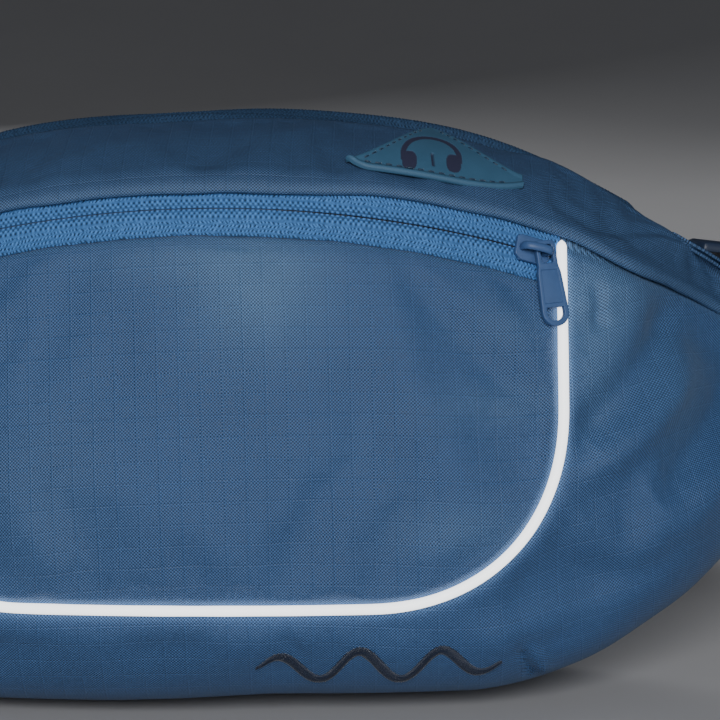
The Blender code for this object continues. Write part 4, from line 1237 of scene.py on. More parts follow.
def tape_relief(away, along, openness):
    """Face of a reversed coil zip: height and painted shade of its grooves, stitch rows and pebbly knit."""
    split = openness * np.exp(-(away / 0.00018) ** 2)
    groove = openness * np.exp(-((away - 0.00088) / 0.00016) ** 2)
    rows = sum(np.exp(-((away - place) / width) ** 2) * np.sin(math.tau * (along / STITCH_PITCH + phase))
               for place, width, phase in STITCH_ROWS)
    zigzag = np.abs((away / HERRINGBONE) % 1.0 - 0.5)
    drift = 0.22 * ripple(along, away * 2.0, 0.0045, 72)
    knit = np.sin(math.tau * (along / KNIT_PITCH + 1.7 * zigzag + drift))
    knit = knit * (0.45 + 0.55 * np.sin(math.tau * (away / KNIT_ROW + drift)))
    knit = knit * smoothstep((away - 0.0026) / 0.0008) * (0.70 + 0.9 * ripple(along, away * 3.0, 0.0021, 73))
    height = 0.00030 * bump((away - 0.0013) / 0.0016) - 0.00045 * split - 0.00020 * groove
    height = height + 0.00020 * rows + 0.00014 * knit
    # the second value is painted shade: dark in the split, the grooves and between knit stitches, lighter on
    # the stitch rows as a painted highlight
    return height, 0.47 + 0.8 * split + 0.5 * groove - 0.70 * rows - 1.75 * knit


def build_tape(node, path, end_x, reach, sign, centre, edge_height, cloth):
    """One tape from the split, level under the slider, to its sewn edge at a height of its own."""
    x = column(-end_x, end_x, TAPE_STEPS[path])
    away = row(SPLIT_GAP, reach, int(reach / TAPE_ROW))
    along = arc_lengths(path.at_x(x, centre), 0)[:, :1]
    bend = smoothstep((away - SLIDER_HALF) / (reach - SLIDER_HALF))
    relief, shade = tape_relief(away, along, lerp(0.35, 1.0, smoothstep((x - 0.005) / 0.040)))
    sink = TAPE_END_SINK * smoothstep((np.abs(x) - end_x + 0.007) / 0.007) * (path is MAIN_ZIP)
    points = path.at_x(x, centre + sign * away, lerp(TAPE_TOP, edge_height(x), bend) + relief - sink)
    shade = shade + 0.14 * ripple(along, away * 3.0, 0.0035, 71)
    # painted shade: darker towards the sewn edge, where the tape tucks under the next panel's hem
    shade = shade + 0.35 * smoothstep((away - (reach - 0.0014)) / 0.0012)
    obj = grid_piece(node + "_knit", points, along, sign * away, clamp(shade))
    flip_if_inward(obj, path.up * math.cos(path.lean) - path.axis * math.sin(path.lean))
    solidify(obj, TAPE_THICKNESS)
    return dress(obj, cloth, "zip_tape_blue", "root", node)


def build_coil(node, path, end_x, across):
    """A nylon coil behind its tape: a tube ribbed once for each turn."""
    line = path.at_x(np.linspace(-end_x, end_x, 700), across, -COIL_DEEP)
    along = arc_lengths(line[:, None], 0)[:, 0]
    coil = tube(node + "_turns", line, COIL_RADIUS + 0.00016 * np.cos(math.tau * along / COIL_PITCH), 10)
    return dress(coil, COIL, "zip_coil_blue", "root", node)


def build_stop(node, path, x, centre):
    """A moulded stop that grips both tapes at the end of the coil."""
    block = rounded_block(node + "_block", STOP_SIZE, 0.0005)
    block.data.transform(path.frame(x, centre) @ Matrix.Translation((0.0, 0.0, -STOP_DEEP)))
    return dress(block, COIL, "zip_coil_blue", "root", node)


def build_zips():
    front_end, main_end = FRONT_ZIP_END_X + ZIP_OVERRUN, MAIN_ZIP_END_X + ZIP_OVERRUN
    for side, sign, reach, edge in (("upper", 1.0, 0.0066, 0.0), ("lower", -1.0, 0.0076, -0.0006)):
        build_tape("front_zip_tape_" + side, FRONT_ZIP, front_end, reach, sign, FRONT_SPLIT,
                   lambda x: TAPE_TOP + edge, TAPE)
    build_tape("main_zip_tape_front", MAIN_ZIP, main_end, 0.0088, -1.0, 0.0,
               lambda x: ridge_rise(x) + gusset_top(x) - 0.0006, RIDGE_TAPE)
    build_tape("main_zip_tape_back", MAIN_ZIP, main_end, 0.0090, 1.0, 0.0,
               lambda x: ridge_rise(x) + BACK_HEM_LIFT - 0.0003, RIDGE_TAPE)
    for prefix, path, end_x, centre, sides in (
            ("front_zip", FRONT_ZIP, FRONT_ZIP_END_X, FRONT_SPLIT, ("upper", "lower")),
            ("main_zip", MAIN_ZIP, MAIN_ZIP_END_X, 0.0, ("back", "front"))):
        for side, sign in zip(sides, (1.0, -1.0)):
            build_coil(f"{prefix}_coil_{side}", path, end_x - COIL_SHORT, centre + sign * COIL_OFFSET)
        for side, sign in (("left", -1.0), ("right", 1.0)):
            build_stop(f"{prefix}_stop_{side}", path, sign * (end_x - STOP_SIZE[0] / 2.0), centre)


# ---- sliders and pulls

CORNER_STEPS = 6
NEARLY_STRAIGHT = 1.55


def rounded_block(name, size, radius, segments=3):
    mesh = bpy.data.meshes.new(name)
    with editing(mesh) as bm:
        bmesh.ops.create_cube(bm, size=1.0)
        bmesh.ops.scale(bm, vec=Vector(size), verts=bm.verts)
        bmesh.ops.bevel(bm, geom=bm.edges[:], offset=radius, segments=segments, affect="EDGES", profile=0.5)
    mesh.shade_smooth()
    return add_object(name, mesh)


def rounded_outline(listed):
    """A closed outline through corners given as (x, y, radius), each rounded with an arc."""
    points = []
    for index, (x, y, radius) in enumerate(listed):
        here = Vector((x, y))
        before = Vector(listed[index - 1][:2]) - here
        after = Vector(listed[(index + 1) % len(listed)][:2]) - here
        half = before.angle(after) / 2.0
        if radius <= 0.0 or half > NEARLY_STRAIGHT:
            points.append((x, y))
            continue
        reach = min(radius / math.tan(half), before.length * 0.49, after.length * 0.49)
        start, end = here + before.normalized() * reach, here + after.normalized() * reach
        for step in range(CORNER_STEPS + 1):
            t = step / CORNER_STEPS
            points.append(tuple((1 - t) ** 2 * start + 2 * t * (1 - t) * here + t * t * end))
    return points


def plate(name, outline, low, high, edge, holes=()):
    """A flat plate between two heights with rounded rims, and holes through it."""
    curve = bpy.data.curves.new(name, "CURVE")
    curve.dimensions = "2D"
    curve.fill_mode = "BOTH"
    for ring in (outline, *holes):
        spline = curve.splines.new("POLY")
        spline.points.add(len(ring) - 1)
        for point, (x, y) in zip(spline.points, ring):
            point.co = (x, y, 0.0, 1.0)
        spline.use_cyclic_u = True
    curve.extrude = (high - low) / 2.0 - edge
    curve.bevel_depth = edge
    curve.bevel_resolution = 2
    curve.offset = -edge
    shape = add_object(name, curve)
    bpy.context.view_layer.update()
    mesh = bpy.data.meshes.new_from_object(evaluated(shape))
    bpy.data.objects.remove(shape)
    mesh.transform(Matrix.Translation((0.0, 0.0, (low + high) / 2.0)))
    with editing(mesh) as bm:
        bmesh.ops.remove_doubles(bm, verts=bm.verts, dist=1e-6)
    mesh.shade_smooth()
    mesh.set_sharp_from_angle(angle=math.radians(50.0))
    return add_object(name, mesh)


BRIDGE_SPAN = 0.0036
BRIDGE_FOOT = 0.0017
BRIDGE_HALF = (0.00115, 0.00068)
BRIDGE_STATIONS = ((-0.0033, 0.0006), (-0.0034, 0.0024), (-0.0028, 0.0037), (-0.0010, 0.0044),
                   (0.0014, 0.0048), (0.0034, 0.0047), (0.0042, 0.0040), (0.0036, 0.0030), (0.0029, 0.0006))
# corners as x, y and radius
SHIELD = ((-0.0049, 0.0030, 0.0010), (-0.0049, -0.0022, 0.0010), (-0.0030, -0.0035, 0.0012),
          (0.0036, -0.0035, 0.0014), (0.0049, -0.0018, 0.0012), (0.0049, 0.0018, 0.0012),
          (0.0036, 0.0035, 0.0014), (-0.0038, 0.0035, 0.0010))


def bridge_mesh(name, side):
    """The bar that holds the pull: a round strap on two feet, higher over the pull's eye."""
    control = np.linspace(0.0, 1.0, len(BRIDGE_STATIONS))
    share = np.linspace(0.0, 1.0, 36)
    px, pz = (smoothed(np.interp(share, control, values), 3) for values in zip(*BRIDGE_STATIONS))
    middle = vectors(px * side, 0.0, pz)
    along = unit(np.gradient(middle, axis=0))
    up = np.cross((0.0, 1.0, 0.0), along) * side
    turn = np.linspace(0.0, math.tau, 17)[None, :, None]
    ring = (middle[:, None] + BRIDGE_HALF[0] * np.cos(turn) * np.array((0.0, 1.0, 0.0))
            + BRIDGE_HALF[1] * np.sin(turn) * up[:, None])
    return close_ends(grid_piece(name, ring, closed=True))


def slider_mesh(name, path, x, centre, side):
    """Shield, side flanges, blade, under plate and bridge of one slider, its mouth towards -side."""
    outline = rounded_outline([(px * side, py, radius) for px, py, radius in SHIELD][::int(side)])
    pieces = [plate("shield", outline, -0.0006, 0.0009, 0.00035),
              plate("under", [(px * 0.84, py * 0.8) for px, py in outline], -0.0055, -0.0045, 0.0003)]
    for size, place, bevel in (((0.0074, 0.0008, 0.0012), (0.0, -0.0031, -0.0002), (0.0003, 2)),
                               ((0.0074, 0.0008, 0.0012), (0.0, 0.0031, -0.0002), (0.0003, 2)),
                               ((0.0060, 0.0008, 0.0046), (0.0, 0.0, -0.0026), (0.0002, 1))):
        block = rounded_block("block", size, *bevel)
        block.data.transform(Matrix.Translation(place))
        pieces.append(block)
    slider = merged(name, pieces + [bridge_mesh("bridge", side)])
    slider.data.transform(path.frame(x, centre))
    return slider


PULL_PLANE = (0.0017, 0.0033)
PULL_HEAD = (0.0029, 0.0029)
PULL_HALF = 0.0039
PULL_EYE = ((0.0017, 0.0017, 0.0006), (-0.0017, 0.0017, 0.0006), (-0.0017, -0.0033, 0.0008),
            (0.0017, -0.0033, 0.0008))
WINDOW_HALF = 0.0025
PULL_LENGTH = 0.0205


def pull_mesh(name):
    """A moulded tab: raised rim round a sunken face, an eye at its top and a D-shaped window."""
    low = PULL_HALF - PULL_LENGTH
    half, top = PULL_HEAD
    right = [(PULL_HALF, low, 0.0), (0.0034, -0.0060, 0.003), (half, -0.0040, 0.003), (half, top, 0.0012)]
    head = rounded_outline(right + [(-x, y, radius) for x, y, radius in right[::-1]])
    outline = head + [(-PULL_HALF * math.cos(math.pi * k / 16), low - PULL_HALF * math.sin(math.pi * k / 16))
                      for k in range(17)]
    window = [(WINDOW_HALF, low + 0.0012), (-WINDOW_HALF, low + 0.0012)]
    window += [(-WINDOW_HALF * math.cos(math.pi * k / 12), low - 0.0024 * math.sin(math.pi * k / 12))
               for k in range(13)]
    face = [(0.0026, low + 0.0024), (0.0023, -0.0052), (-0.0023, -0.0052), (-0.0026, low + 0.0024)]
    rim_low, rim_high = PULL_PLANE
    rim = plate("rim", outline, rim_low, rim_high, 0.0003, (rounded_outline(PULL_EYE), window, face))
    floor = plate("floor", [(x * 1.08, y) for x, y in face], rim_low + 0.0002, rim_high - 0.0002, 0.0001)
    return merged(name, [rim, floor])


def build_sliders():
    foot = BRIDGE_SPAN - BRIDGE_FOOT / 2
    for prefix, path, x, centre, side, place, turn in (
            ("front", FRONT_ZIP, FRONT_SLIDER_X, FRONT_SPLIT, 1.0, foot + 0.0001, math.radians(20.0)),
            ("main", MAIN_ZIP, MAIN_SLIDER_X, 0.0, -1.0, -foot, -QUARTER)):
        slider = slider_mesh(prefix + "_slider_body", path, x, centre, side)
        dress(slider, LACQUER, "zip_pull_blue", prefix + "_slider", prefix + "_slider")
        pull = pull_mesh(prefix + "_pull_tab")
        pull.data.transform(path.frame(x, centre) @ Matrix.Translation((place, 0.0, 0.0))
                            @ Matrix.Rotation(turn, 4, "Z"))
        dress(pull, LACQUER, "zip_pull_blue", prefix + "_pull", prefix + "_pull")


# ---- headphone port

PORT_GRID = (281, 101)
PORT_NORMAL_STEP = 0.001
STITCH_LENGTH = 0.0017
STITCH_SPACING = 0.0029
STITCH_LIFT = 0.00172
# start, end, beside the lower edge, inset across the gusset
STITCH_RUNS = ((PORT_X[0] + 0.0050, PORT_APEX_X - 0.0022, False, -0.055),
               (PORT_APEX_X + 0.0022, PORT_X[1] - 0.0030, False, -0.055),
               (PORT_X[0] + 0.0050, PORT_X[1] - 0.0035, True, 0.062))


def port_span(x):
    """Lower and upper edge of the port on the gusset at x: two concave flanks to a blunt apex."""
    left_climb = clamp((x - PORT_X[0]) / (PORT_APEX_X - PORT_X[0])) ** 1.5
    right_climb = clamp((PORT_X[1] - x) / (PORT_X[1] - PORT_APEX_X)) ** 1.4
    high = np.where(x < PORT_APEX_X, lerp(PORT_SHOULDERS[0], PORT_HIGH, left_climb),
                    lerp(PORT_SHOULDERS[1], PORT_HIGH, right_climb))
    low = PORT_LOW + 0.075 * clamp(1.0 - (x - PORT_X[0]) / 0.0065) ** 1.8
    return low + 0.12 * clamp((x - 0.058) / (PORT_X[1] - 0.058)) ** 3, high


def headphones(x, g):
    """A plain headphone mark, a band over two round cups, and the cable slit under it."""
    a = (x - PORT_APEX_X) / MM + 0.5
    b = (g - 0.428) * 23.3 - 0.10 * a
    band = (np.abs(np.hypot(a / 7.6, b / 5.8) - 1.0) < 0.095) & (b > -1.2)
    cups = ((np.abs(np.abs(a) - 6.0) / 2.0) ** 2.6 + (np.abs(b + 1.1) / 2.2) ** 2.6) < 1.0
    slit = np.exp(-((a - 0.3 + 0.08 * b) / 0.30) ** 2) * (np.abs(b + 0.7) < 1.6)
    return (band | cups).astype(float), slit


def build_port():
    x = np.broadcast_to(column(*PORT_X, PORT_GRID[0]), PORT_GRID)
    low, high = port_span(x)
    g = lerp(low, high, row(0.0, 1.0, PORT_GRID[1]))
    base = gusset_point(x, g)
    rise = arc_lengths(base, 1)
    rise = rise - rise[:, :1]
    span = rise[:, -1:]
    slope = np.hypot(1.0, np.gradient(span[:, 0]) / np.gradient(x[:, 0]))[:, None]
    from_top = (span - rise) / slope
    edge = np.minimum(np.minimum(rise, from_top), np.minimum(x - PORT_X[0], PORT_X[1] - x) + 0.0003)
    lift = 0.0011 + 0.0008 * bump((rise - 0.0011) / 0.0014) + 0.00022 * bump((from_top - 0.0008) / 0.0010)
    lift = lift * smoothstep((edge + 0.0002) / 0.0006) ** 0.5
    mark, slit = headphones(x, g)
    points = lifted(gusset_point, x, g, 0.0005 + lift - 0.00016 * mark - 0.0008 * slit, PORT_NORMAL_STEP)
    # the headphone mark is print; the slit's darkness is painted shade
    shade = clamp(mark * 0.9 + slit)
    port = grid_piece("headphone_port_patch", points, arc_lengths(base, 0), rise, shade)
    flip_if_inward(port, (0.0, -1.0, 0.6))
    solidify(port, PORT_THICKNESS)
    dress(port, RUBBER, "port_rubber", "root", "headphone_port")
    build_port_stitches()


def build_port_stitches():
    """Short stitches round the patch, a little inside its edges."""
    stitches = []
    for first, last, from_low, inset in STITCH_RUNS:
        x = np.linspace(first, last, 240)
        g = port_span(x)[0 if from_low else 1] + inset
        line = lifted(gusset_point, x, g, STITCH_LIFT, PORT_NORMAL_STEP)
        length = run_length(line)
        for start in np.arange(0.0, length[-1] - STITCH_LENGTH, STITCH_SPACING):
            share = np.linspace(start, start + STITCH_LENGTH, 7)
            path = np.stack([np.interp(share, length, line[:, axis]) for axis in range(3)], -1)
            dive = 0.00030 * np.linspace(-1.0, 1.0, 7) ** 4
            stitches.append(tube("stitch", path + vectors(0.0, dive, -dive), 0.00024, 8))
    return dress(merged("headphone_port_stitches", stitches), PORT_THREAD, "port_rubber", "root")


# ---- stitched wave mark

MARK_START_X = 0.010
MARK_LENGTH = 0.066
MARK_CRESTS = 3.0
MARK_Z = 0.0182
MARK_SWING = 0.0050
THREAD_STEP = 0.00036
THREAD_HALF = 0.00122
THREAD_LEAN = 0.00022


def mark_line(t):
    """The wave's centre line as (x, z), for t from 0 to 1."""
    x = MARK_START_X + MARK_LENGTH * t
    return x, MARK_Z + MARK_SWING * np.sin(math.tau * MARK_CRESTS * t) * np.sin(math.pi * t) ** 0.3


def on_cloth(tree, x, z, lift):
    """Points over the settled cloth, found straight back from in front of it."""
    places = []
    for px, pz, rise in zip(x, z, lift):
        hit, normal = tree.ray_cast(Vector((px, -0.1, pz)), Vector((0.0, 1.0, 0.0)))[:2]
        places.append(hit - normal * math.copysign(rise, normal.y))
    return places


def build_mark(panel):
    """A satin-stitched wave: threads laid side by side across its line."""
    tree = BVHTree.FromPolygons([vert.co for vert in panel.data.vertices],
                                [polygon.vertices for polygon in panel.data.polygons])
    fine = np.linspace(0.0, 1.0, 2000)
    length = run_length(np.stack(mark_line(fine), -1))
    reach = np.linspace(-1.0, 1.0, 6)
    threads = []
    for index in range(int(length[-1] / THREAD_STEP)):
        t = np.interp(index * THREAD_STEP, length, fine)
        here, ahead = np.array(mark_line(t)), np.array(mark_line(t + 0.001))
        run_x, run_z = unit(ahead - here)
        half = THREAD_HALF * min(1.0, 0.35 + 6.0 * min(t, 1.0 - t)) * (1.0 + 0.06 * math.sin(index * 2.4))
        x = here[0] - run_z * reach * half + THREAD_LEAN * np.sign(reach)
        z = here[1] + run_x * reach * half
        path = on_cloth(tree, x, z, 0.00010 + 0.00042 * (1.0 - reach ** 2))
        threads.append(tube("thread", path, 0.00021, 6))
    return dress(merged("stitched_wave", threads), THREAD, "webbing_navy", "root")


# ---- lining and divider


def pocket_depth(x, z):
    share = (z - POCKET_FLOOR) / (seam_point(x, -BAND_WIDTH)[..., 2] - POCKET_FLOOR)
    return lerp(POCKET_NECK, POCKET_DEPTH, np.maximum(np.sin(math.pi * share), 0.0))


def build_linings():
    x = column(-1.0, 1.0, 121) * DIVIDER_HALF_WIDTH
    low = PIPING_Z + CORNER * (np.abs(x) / DIVIDER_HALF_WIDTH) ** 4
    z = lerp(low, seam_point(x, -BAND_WIDTH)[..., 2], row(0.0, 1.0, 61))
    x = np.broadcast_to(x, z.shape)
    loose = 0.0005 * ripple(x, z, 0.030, 61)
    divider = grid_piece("pocket_divider_cloth", front_surface(x, z, -pocket_depth(x, z) - 0.0004 + loose))
    flip_if_inward(divider, (0.0, -1.0, 0.0))
    dress(solidify(divider, DIVIDER_THICKNESS), LINING, "lining_grey", "root", "pocket_divider")
    x = column(-1.0, 1.0, 121) * LINING_HALF_WIDTH
    floor = underside_z(x) + LINING_FLOOR
    z = lerp(seam_point(x, -BAND_WIDTH)[..., 2], floor + front_lift(x) + LINING_FOOT, row(0.0, 1.0, 41))
    wide = np.broadcast_to(x, z.shape)
    front = front_surface(wide, z, -pocket_depth(wide, z) - LINING_BEHIND - 0.0003)
    lowest = body_point(x, row(V_FOOT + 0.02, 0.98, 16)) + (0.0, 0.0, LINING_FLOOR)
    back = vectors(x, BACK_Y - LINING_BACK_GAP, lerp(floor, ridge_z(x) - LINING_HEM, row(0.03, 1.0, 41)))
    sling = np.concatenate((front, lowest, back), 1)
    sling[..., 1] += 0.0003 * ripple(sling[..., 0], sling[..., 2], 0.028, 62)
    lining = grid_piece("main_lining_cloth", sling)
    flip_if_inward(lining, (0.0, 0.0, -1.0))
    dress(solidify(lining, LINING_THICKNESS), LINING, "lining_grey", "root", "main_lining")


# ---- back pad


def pad_outline(x, v, inset):
    half = PAD_HALF_WIDTH - inset
    low = underside_z(x) + PAD_MARGIN + inset
    high = ridge_z(x) - PAD_MARGIN - inset
    edge = (1.0 - np.minimum(np.abs(x) / half, 1.0) ** 6) ** 0.5
    return lerp((low + high) / 2.0, lerp(low, high, v), lerp(0.72, 1.0, edge))


PAD_DEPTH = 0.0105
PAD_CHANNELS_X = (-0.058, 0.0, 0.058)
PAD_CHANNELS_Z = (0.052, 0.100)
CHANNEL_WIDTH = 0.0022
PAD_VOXEL = 0.0042


def build_pad():
    """Foam under spacer mesh: a crowned cushion, blown up as cloth, with sewn channels pressed in."""
    x = PAD_HALF_WIDTH * np.sin(QUARTER * column(1.0, -1.0, 91)) * 0.995
    v = row(0.0, 1.0, 51)
    z = pad_outline(x, v, 0.001)
    wide = np.broadcast_to(x, z.shape)
    base = back_point(wide, (z - underside_z(x)) / (ridge_z(x) - underside_z(x)))
    crown = (1.0 - np.abs(2.0 * v - 1.0) ** 3.5) ** 0.5 * (1.0 - np.abs(wide / PAD_HALF_WIDTH) ** 8) ** 0.5
    front = base + (0.0, 0.0004, 0.0)
    face = base + vectors(0.0, 0.0020 + (PAD_DEPTH - 0.0040) * crown, 0.0)
    shell = np.concatenate((front, face[:, ::-1], front[:, :1]), 1)
    pad = close_ends(grid_piece("back_pad_cushion", shell, closed=True))
    flip_by_volume(pad)
    modify(pad, "REMESH", mode="VOXEL", voxel_size=PAD_VOXEL)
    rest = corners(pad)
    moved = rest + simulate(pad, np.zeros(len(rest), bool), *PAD_SIM)
    moved[:, 1] = np.maximum(moved[:, 1], rest[:, 1] - 0.0002)
    pad.data.vertices.foreach_set("co", moved.ravel())
    modify(pad, "SUBSURF", levels=1, render_levels=1)
    press_channels(pad)
    dress(pad, SPACER, "spacer_mesh", "root", "back_mesh", "back_foam_pad")


def press_channels(pad):
    """Sewn lines across the pad, and its own cloth coordinates."""
    points = corners(pad)
    x, y, z = points.T
    upright = sum(np.exp(-((x - line - 0.10 * (z - 0.08)) / CHANNEL_WIDTH) ** 2) for line in PAD_CHANNELS_X)
    level = sum(np.exp(-((z - height) / CHANNEL_WIDTH) ** 2) for height in PAD_CHANNELS_Z)
    outer = smoothstep((y - (BACK_Y + BACK_LIFT + BACK_CROWN)) / 0.004)
    points[:, 1] -= 0.0030 * np.minimum(upright + level, 1.0) * outer
    pad.data.vertices.foreach_set("co", points.ravel())
    while pad.data.attributes.get("grain"):
        pad.data.attributes.remove(pad.data.attributes["grain"])
    set_grain(pad.data, points[:, 0], points[:, 2], np.zeros(len(points)))
    pad.data.shade_smooth()
    pad.data.update()


# ---- belt

STRAP_SIDES = 28
STRAP_RIB = 0.0015
TACK_TURNS = 44
TACK_SIZE = (0.032, 0.0022)
TACK_LIFT = 0.0008


def bezier(points, t):
    a, b, c, d = points
    s = 1.0 - t
    return s ** 3 * a + 3 * s * s * t * b + 3 * s * t * t * c + t ** 3 * d


def loop_controls():
    """Control points of the right half of the belt, from the keeper to its rearmost point."""
    start = BUCKLE_FRAME @ Vector((LOOP_START, 0.0, 0.0))
    along = BUCKLE_FRAME.to_3x3() @ Vector((LOOP_STIFFNESS, 0.0, 0.0))
    rear = Vector((0.0, LOOP_REACH, LOOP_REST_Z))
    return start, start + along, rear + Vector((LOOP_WIDENING, 0.0, 0.0)), rear


def half_loop(t, outward):
    """Right half of the belt for t from the male buckle (0) to the rear (1), offset outwards."""
    controls = loop_controls()
    bar = BUCKLE_FRAME @ Vector((MALE_BAR_X, 0.0, 0.0))
    if t < LOOP_STRAIGHT:
        point = bar.lerp(controls[0], t / LOOP_STRAIGHT)
        tangent = (controls[0] - bar).normalized()
    else:
        share = (t - LOOP_STRAIGHT) / (1.0 - LOOP_STRAIGHT)
        point = bezier(controls, share)
        step = 0.01
        tangent = (bezier(controls, min(share + step, 1.0)) - bezier(controls, share - step)).normalized()
    across = (UP - UP.dot(tangent) * tangent).normalized()
    return point + outward * tangent.cross(across), across


def web_turn(bar_x, turn):
    """Where webbing lies round a buckle bar, for a turn from its front (-90) to its back (90)."""
    local = Vector((bar_x + TURN_X * math.cos(turn), TURN_Y * math.sin(turn), 0.0))
    return BUCKLE_FRAME @ local, BUCKLE_FRAME.to_3x3() @ UP


def belt_point(s):
    """Belt centre line from its tail's tip (0), round the male buckle's bar, to the left end (1)."""
    tail_end, turn_end, rear, left = BELT_STATIONS
    if s < tail_end:
        return half_loop(TAIL_REACH * (1.0 - s / tail_end) + 0.02, TURN_Y)
    if s < turn_end:
        turn = lerp(-QUARTER, QUARTER, (s - tail_end) / (turn_end - tail_end))
        return web_turn(MALE_BAR_X, math.pi - turn)
    if s < rear:
        return half_loop(lerp(0.02, 1.0, (s - turn_end) / (rear - turn_end)), -TURN_Y)
    if s < left:
        point, across = half_loop(lerp(1.0, 0.0, (s - rear) / (left - rear)), -TURN_Y)
        return Vector((-point.x, point.y, point.z)), Vector((-across.x, across.y, across.z))
    start, across = belt_point(left - 0.0001)
    share = (s - left) / (1.0 - left)
    sewn = Vector((-TAB_INNER.x, TAB_INNER.y, TAB_INNER.z))
    return start.lerp(sewn, share), across.lerp(UP, share).normalized()


def tab_point(u):
    """The right webbing tab: sewn to the back panel, out round the female buckle's bar, and back."""
    outer_ply = TAB_INNER + Vector((TAB_STEP, TAB_PLY_GAP, 0.0))
    close, across = web_turn(FEMALE_BAR_X, -QUARTER)
    far = web_turn(FEMALE_BAR_X, QUARTER)[0]
    if u < TAB_TURN[0]:
        return TAB_INNER.lerp(close, u / TAB_TURN[0]), UP.lerp(across, u / TAB_TURN[0]).normalized()
    if u < TAB_TURN[1]:
        share = (u - TAB_TURN[0]) / (TAB_TURN[1] - TAB_TURN[0])
        return web_turn(FEMALE_BAR_X, lerp(-QUARTER, QUARTER, share))
    share = (u - TAB_TURN[1]) / (1.0 - TAB_TURN[1])
    return far.lerp(outer_ply, share), across.lerp(UP, share).normalized()


def strap(name, place, steps):
    """Woven strap along place(s): cross ribs, rolled selvedges and slightly rounded edges."""
    placed = [place(float(share)) for share in np.linspace(0.0, 1.0, steps)]
    centre, across = (np.array(values) for values in zip(*placed))
    centre = smoothed(centre, 3)
    face = unit(np.cross(unit(np.gradient(centre, axis=0)), across))
    length = arc_lengths(centre[:, None], 0)[:, 0]
    turn = np.linspace(0.0, math.tau, STRAP_SIDES + 1)
    wide = np.sign(np.cos(turn)) * np.abs(np.cos(turn)) ** 0.18
    thick = np.sign(np.sin(turn)) * np.abs(np.sin(turn)) ** 0.55
    rib = 1.0 + 0.07 * np.sin(math.tau * length / STRAP_RIB)
    selvedge = 0.86 + 0.14 * smoothstep((1.0 - np.abs(wide)) / 0.12)
    ring = (centre[:, None] + across[:, None] * (wide * WEB_WIDTH / 2.0)[None, :, None]
            + face[:, None] * (thick * selvedge * WEB_THICKNESS / 2.0)[None, :, None] * rib[:, None, None])
    worn = 0.7 * near(1.0 - np.abs(wide), 0.05)
    return close_ends(grid_piece(name, ring, length[:, None], wide * WEB_WIDTH / 2.0, worn, closed=True))


def bartack(name, centre, along, across, face):
    """A dense zigzag of thread across a strap."""
    count = np.arange(TACK_TURNS)
    side = np.linspace(-0.5, 0.5, TACK_TURNS) * TACK_SIZE[0]
    zigzag = np.where(count % 2 == 0, -0.5, 0.5) * TACK_SIZE[1]
    path = np.array(centre)[None] + np.outer(side, across) + np.outer(zigzag, along) + 0.0001 * np.array(face)
    share = np.linspace(0, TACK_TURNS - 1, TACK_TURNS * 4)
    fine = np.stack([np.interp(share, count, path[:, axis]) for axis in range(3)], -1)
    return tube(name, fine, 0.00026, 6)


def build_belt():
    belt = strap("belt_strap", belt_point, 1150)
    belt.data.materials.append(WEBBING)
    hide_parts("belt_webbing")
    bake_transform(belt)
    dress(strap("belt_tab_strap", tab_point, 150), WEBBING, "webbing_navy", "root", "belt_tab")
    tacks = []
    for point_at, share in ((tab_point, 0.97), (tab_point, 0.86), (belt_point, 0.985), (belt_point, 0.972)):
        centre, across = point_at(share)
        along = (centre - point_at(share - 0.01)[0]).normalized()
        face = along.cross(across).normalized()
        if face.y < 0.0:
            face = -face
        tacks.append(bartack("tack", centre + face * TACK_LIFT, along, across, face))
    dress(merged("belt_bartacks", tacks), THREAD, "webbing_navy", "root")


def build_keeper():
    """A closed elastic loop round the doubled webbing."""
    half_z = WEB_WIDTH / 2 + KEEPER_ROOM
    half_y = TURN_Y + WEB_THICKNESS / 2 + KEEPER_ROOM
    turn = np.linspace(0.0, math.tau, 121)
    x = column(0.0, KEEPER_LENGTH, 13)
    y = half_y * np.sign(np.sin(turn)) * np.abs(np.sin(turn)) ** 0.35
    y = y * (1.0 - 0.03 * np.cos(math.tau * x / KEEPER_LENGTH))
    points = vectors(x, y, half_z * np.sign(np.cos(turn)) * np.abs(np.cos(turn)) ** 0.12)
    matrix = BUCKLE_FRAME @ Matrix.Translation((KEEPER_X, 0.0, 0.0))
    points = points @ np.array(matrix.to_3x3()).T + np.array(matrix.translation)
    round_it, along_it = arc_lengths(points, 1), arc_lengths(points, 0)
    keeper = grid_piece("strap_keeper_loop", points, round_it, along_it, closed=True)
    solidify(keeper, KEEPER_THICKNESS, 0.0)
    return dress(keeper, WEBBING, "webbing_navy", "strap_keeper", "strap_keeper")


# ---- buckle

PRONG_TEETH_Z = 0.0214


def rounded_copy(name, node, width, body, extras):
    """The moulded part of a CAD node with its edges rounded, and further details joined to it."""
    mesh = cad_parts[node].data.copy()
    with editing(mesh) as bm:
        bmesh.ops.remove_doubles(bm, verts=bm.verts, dist=1e-5)
        bmesh.ops.dissolve_limit(bm, angle_limit=math.radians(1.0), verts=bm.verts, edges=bm.edges)
    obj = add_object(name, mesh)
    modify(obj, "BEVEL", width=width, segments=3, limit_method="ANGLE", angle_limit=math.radians(40.0))
    obj = merged(name, [obj, *extras])
    obj.data.set_sharp_from_angle(angle=math.radians(35.0))
    return dress(obj, PLASTIC, "buckle_navy", body, node)


def ribs(xs, y, height, size):
    """Grip ribs moulded across a face of the buckle, in its own frame."""
    made = [rounded_block("rib", size, min(size) * 0.45, 2) for _ in xs]
    for x, rib in zip(xs, made):
        rib.data.transform(BUCKLE_FRAME @ Matrix.Translation((x, y, height)))
    return made


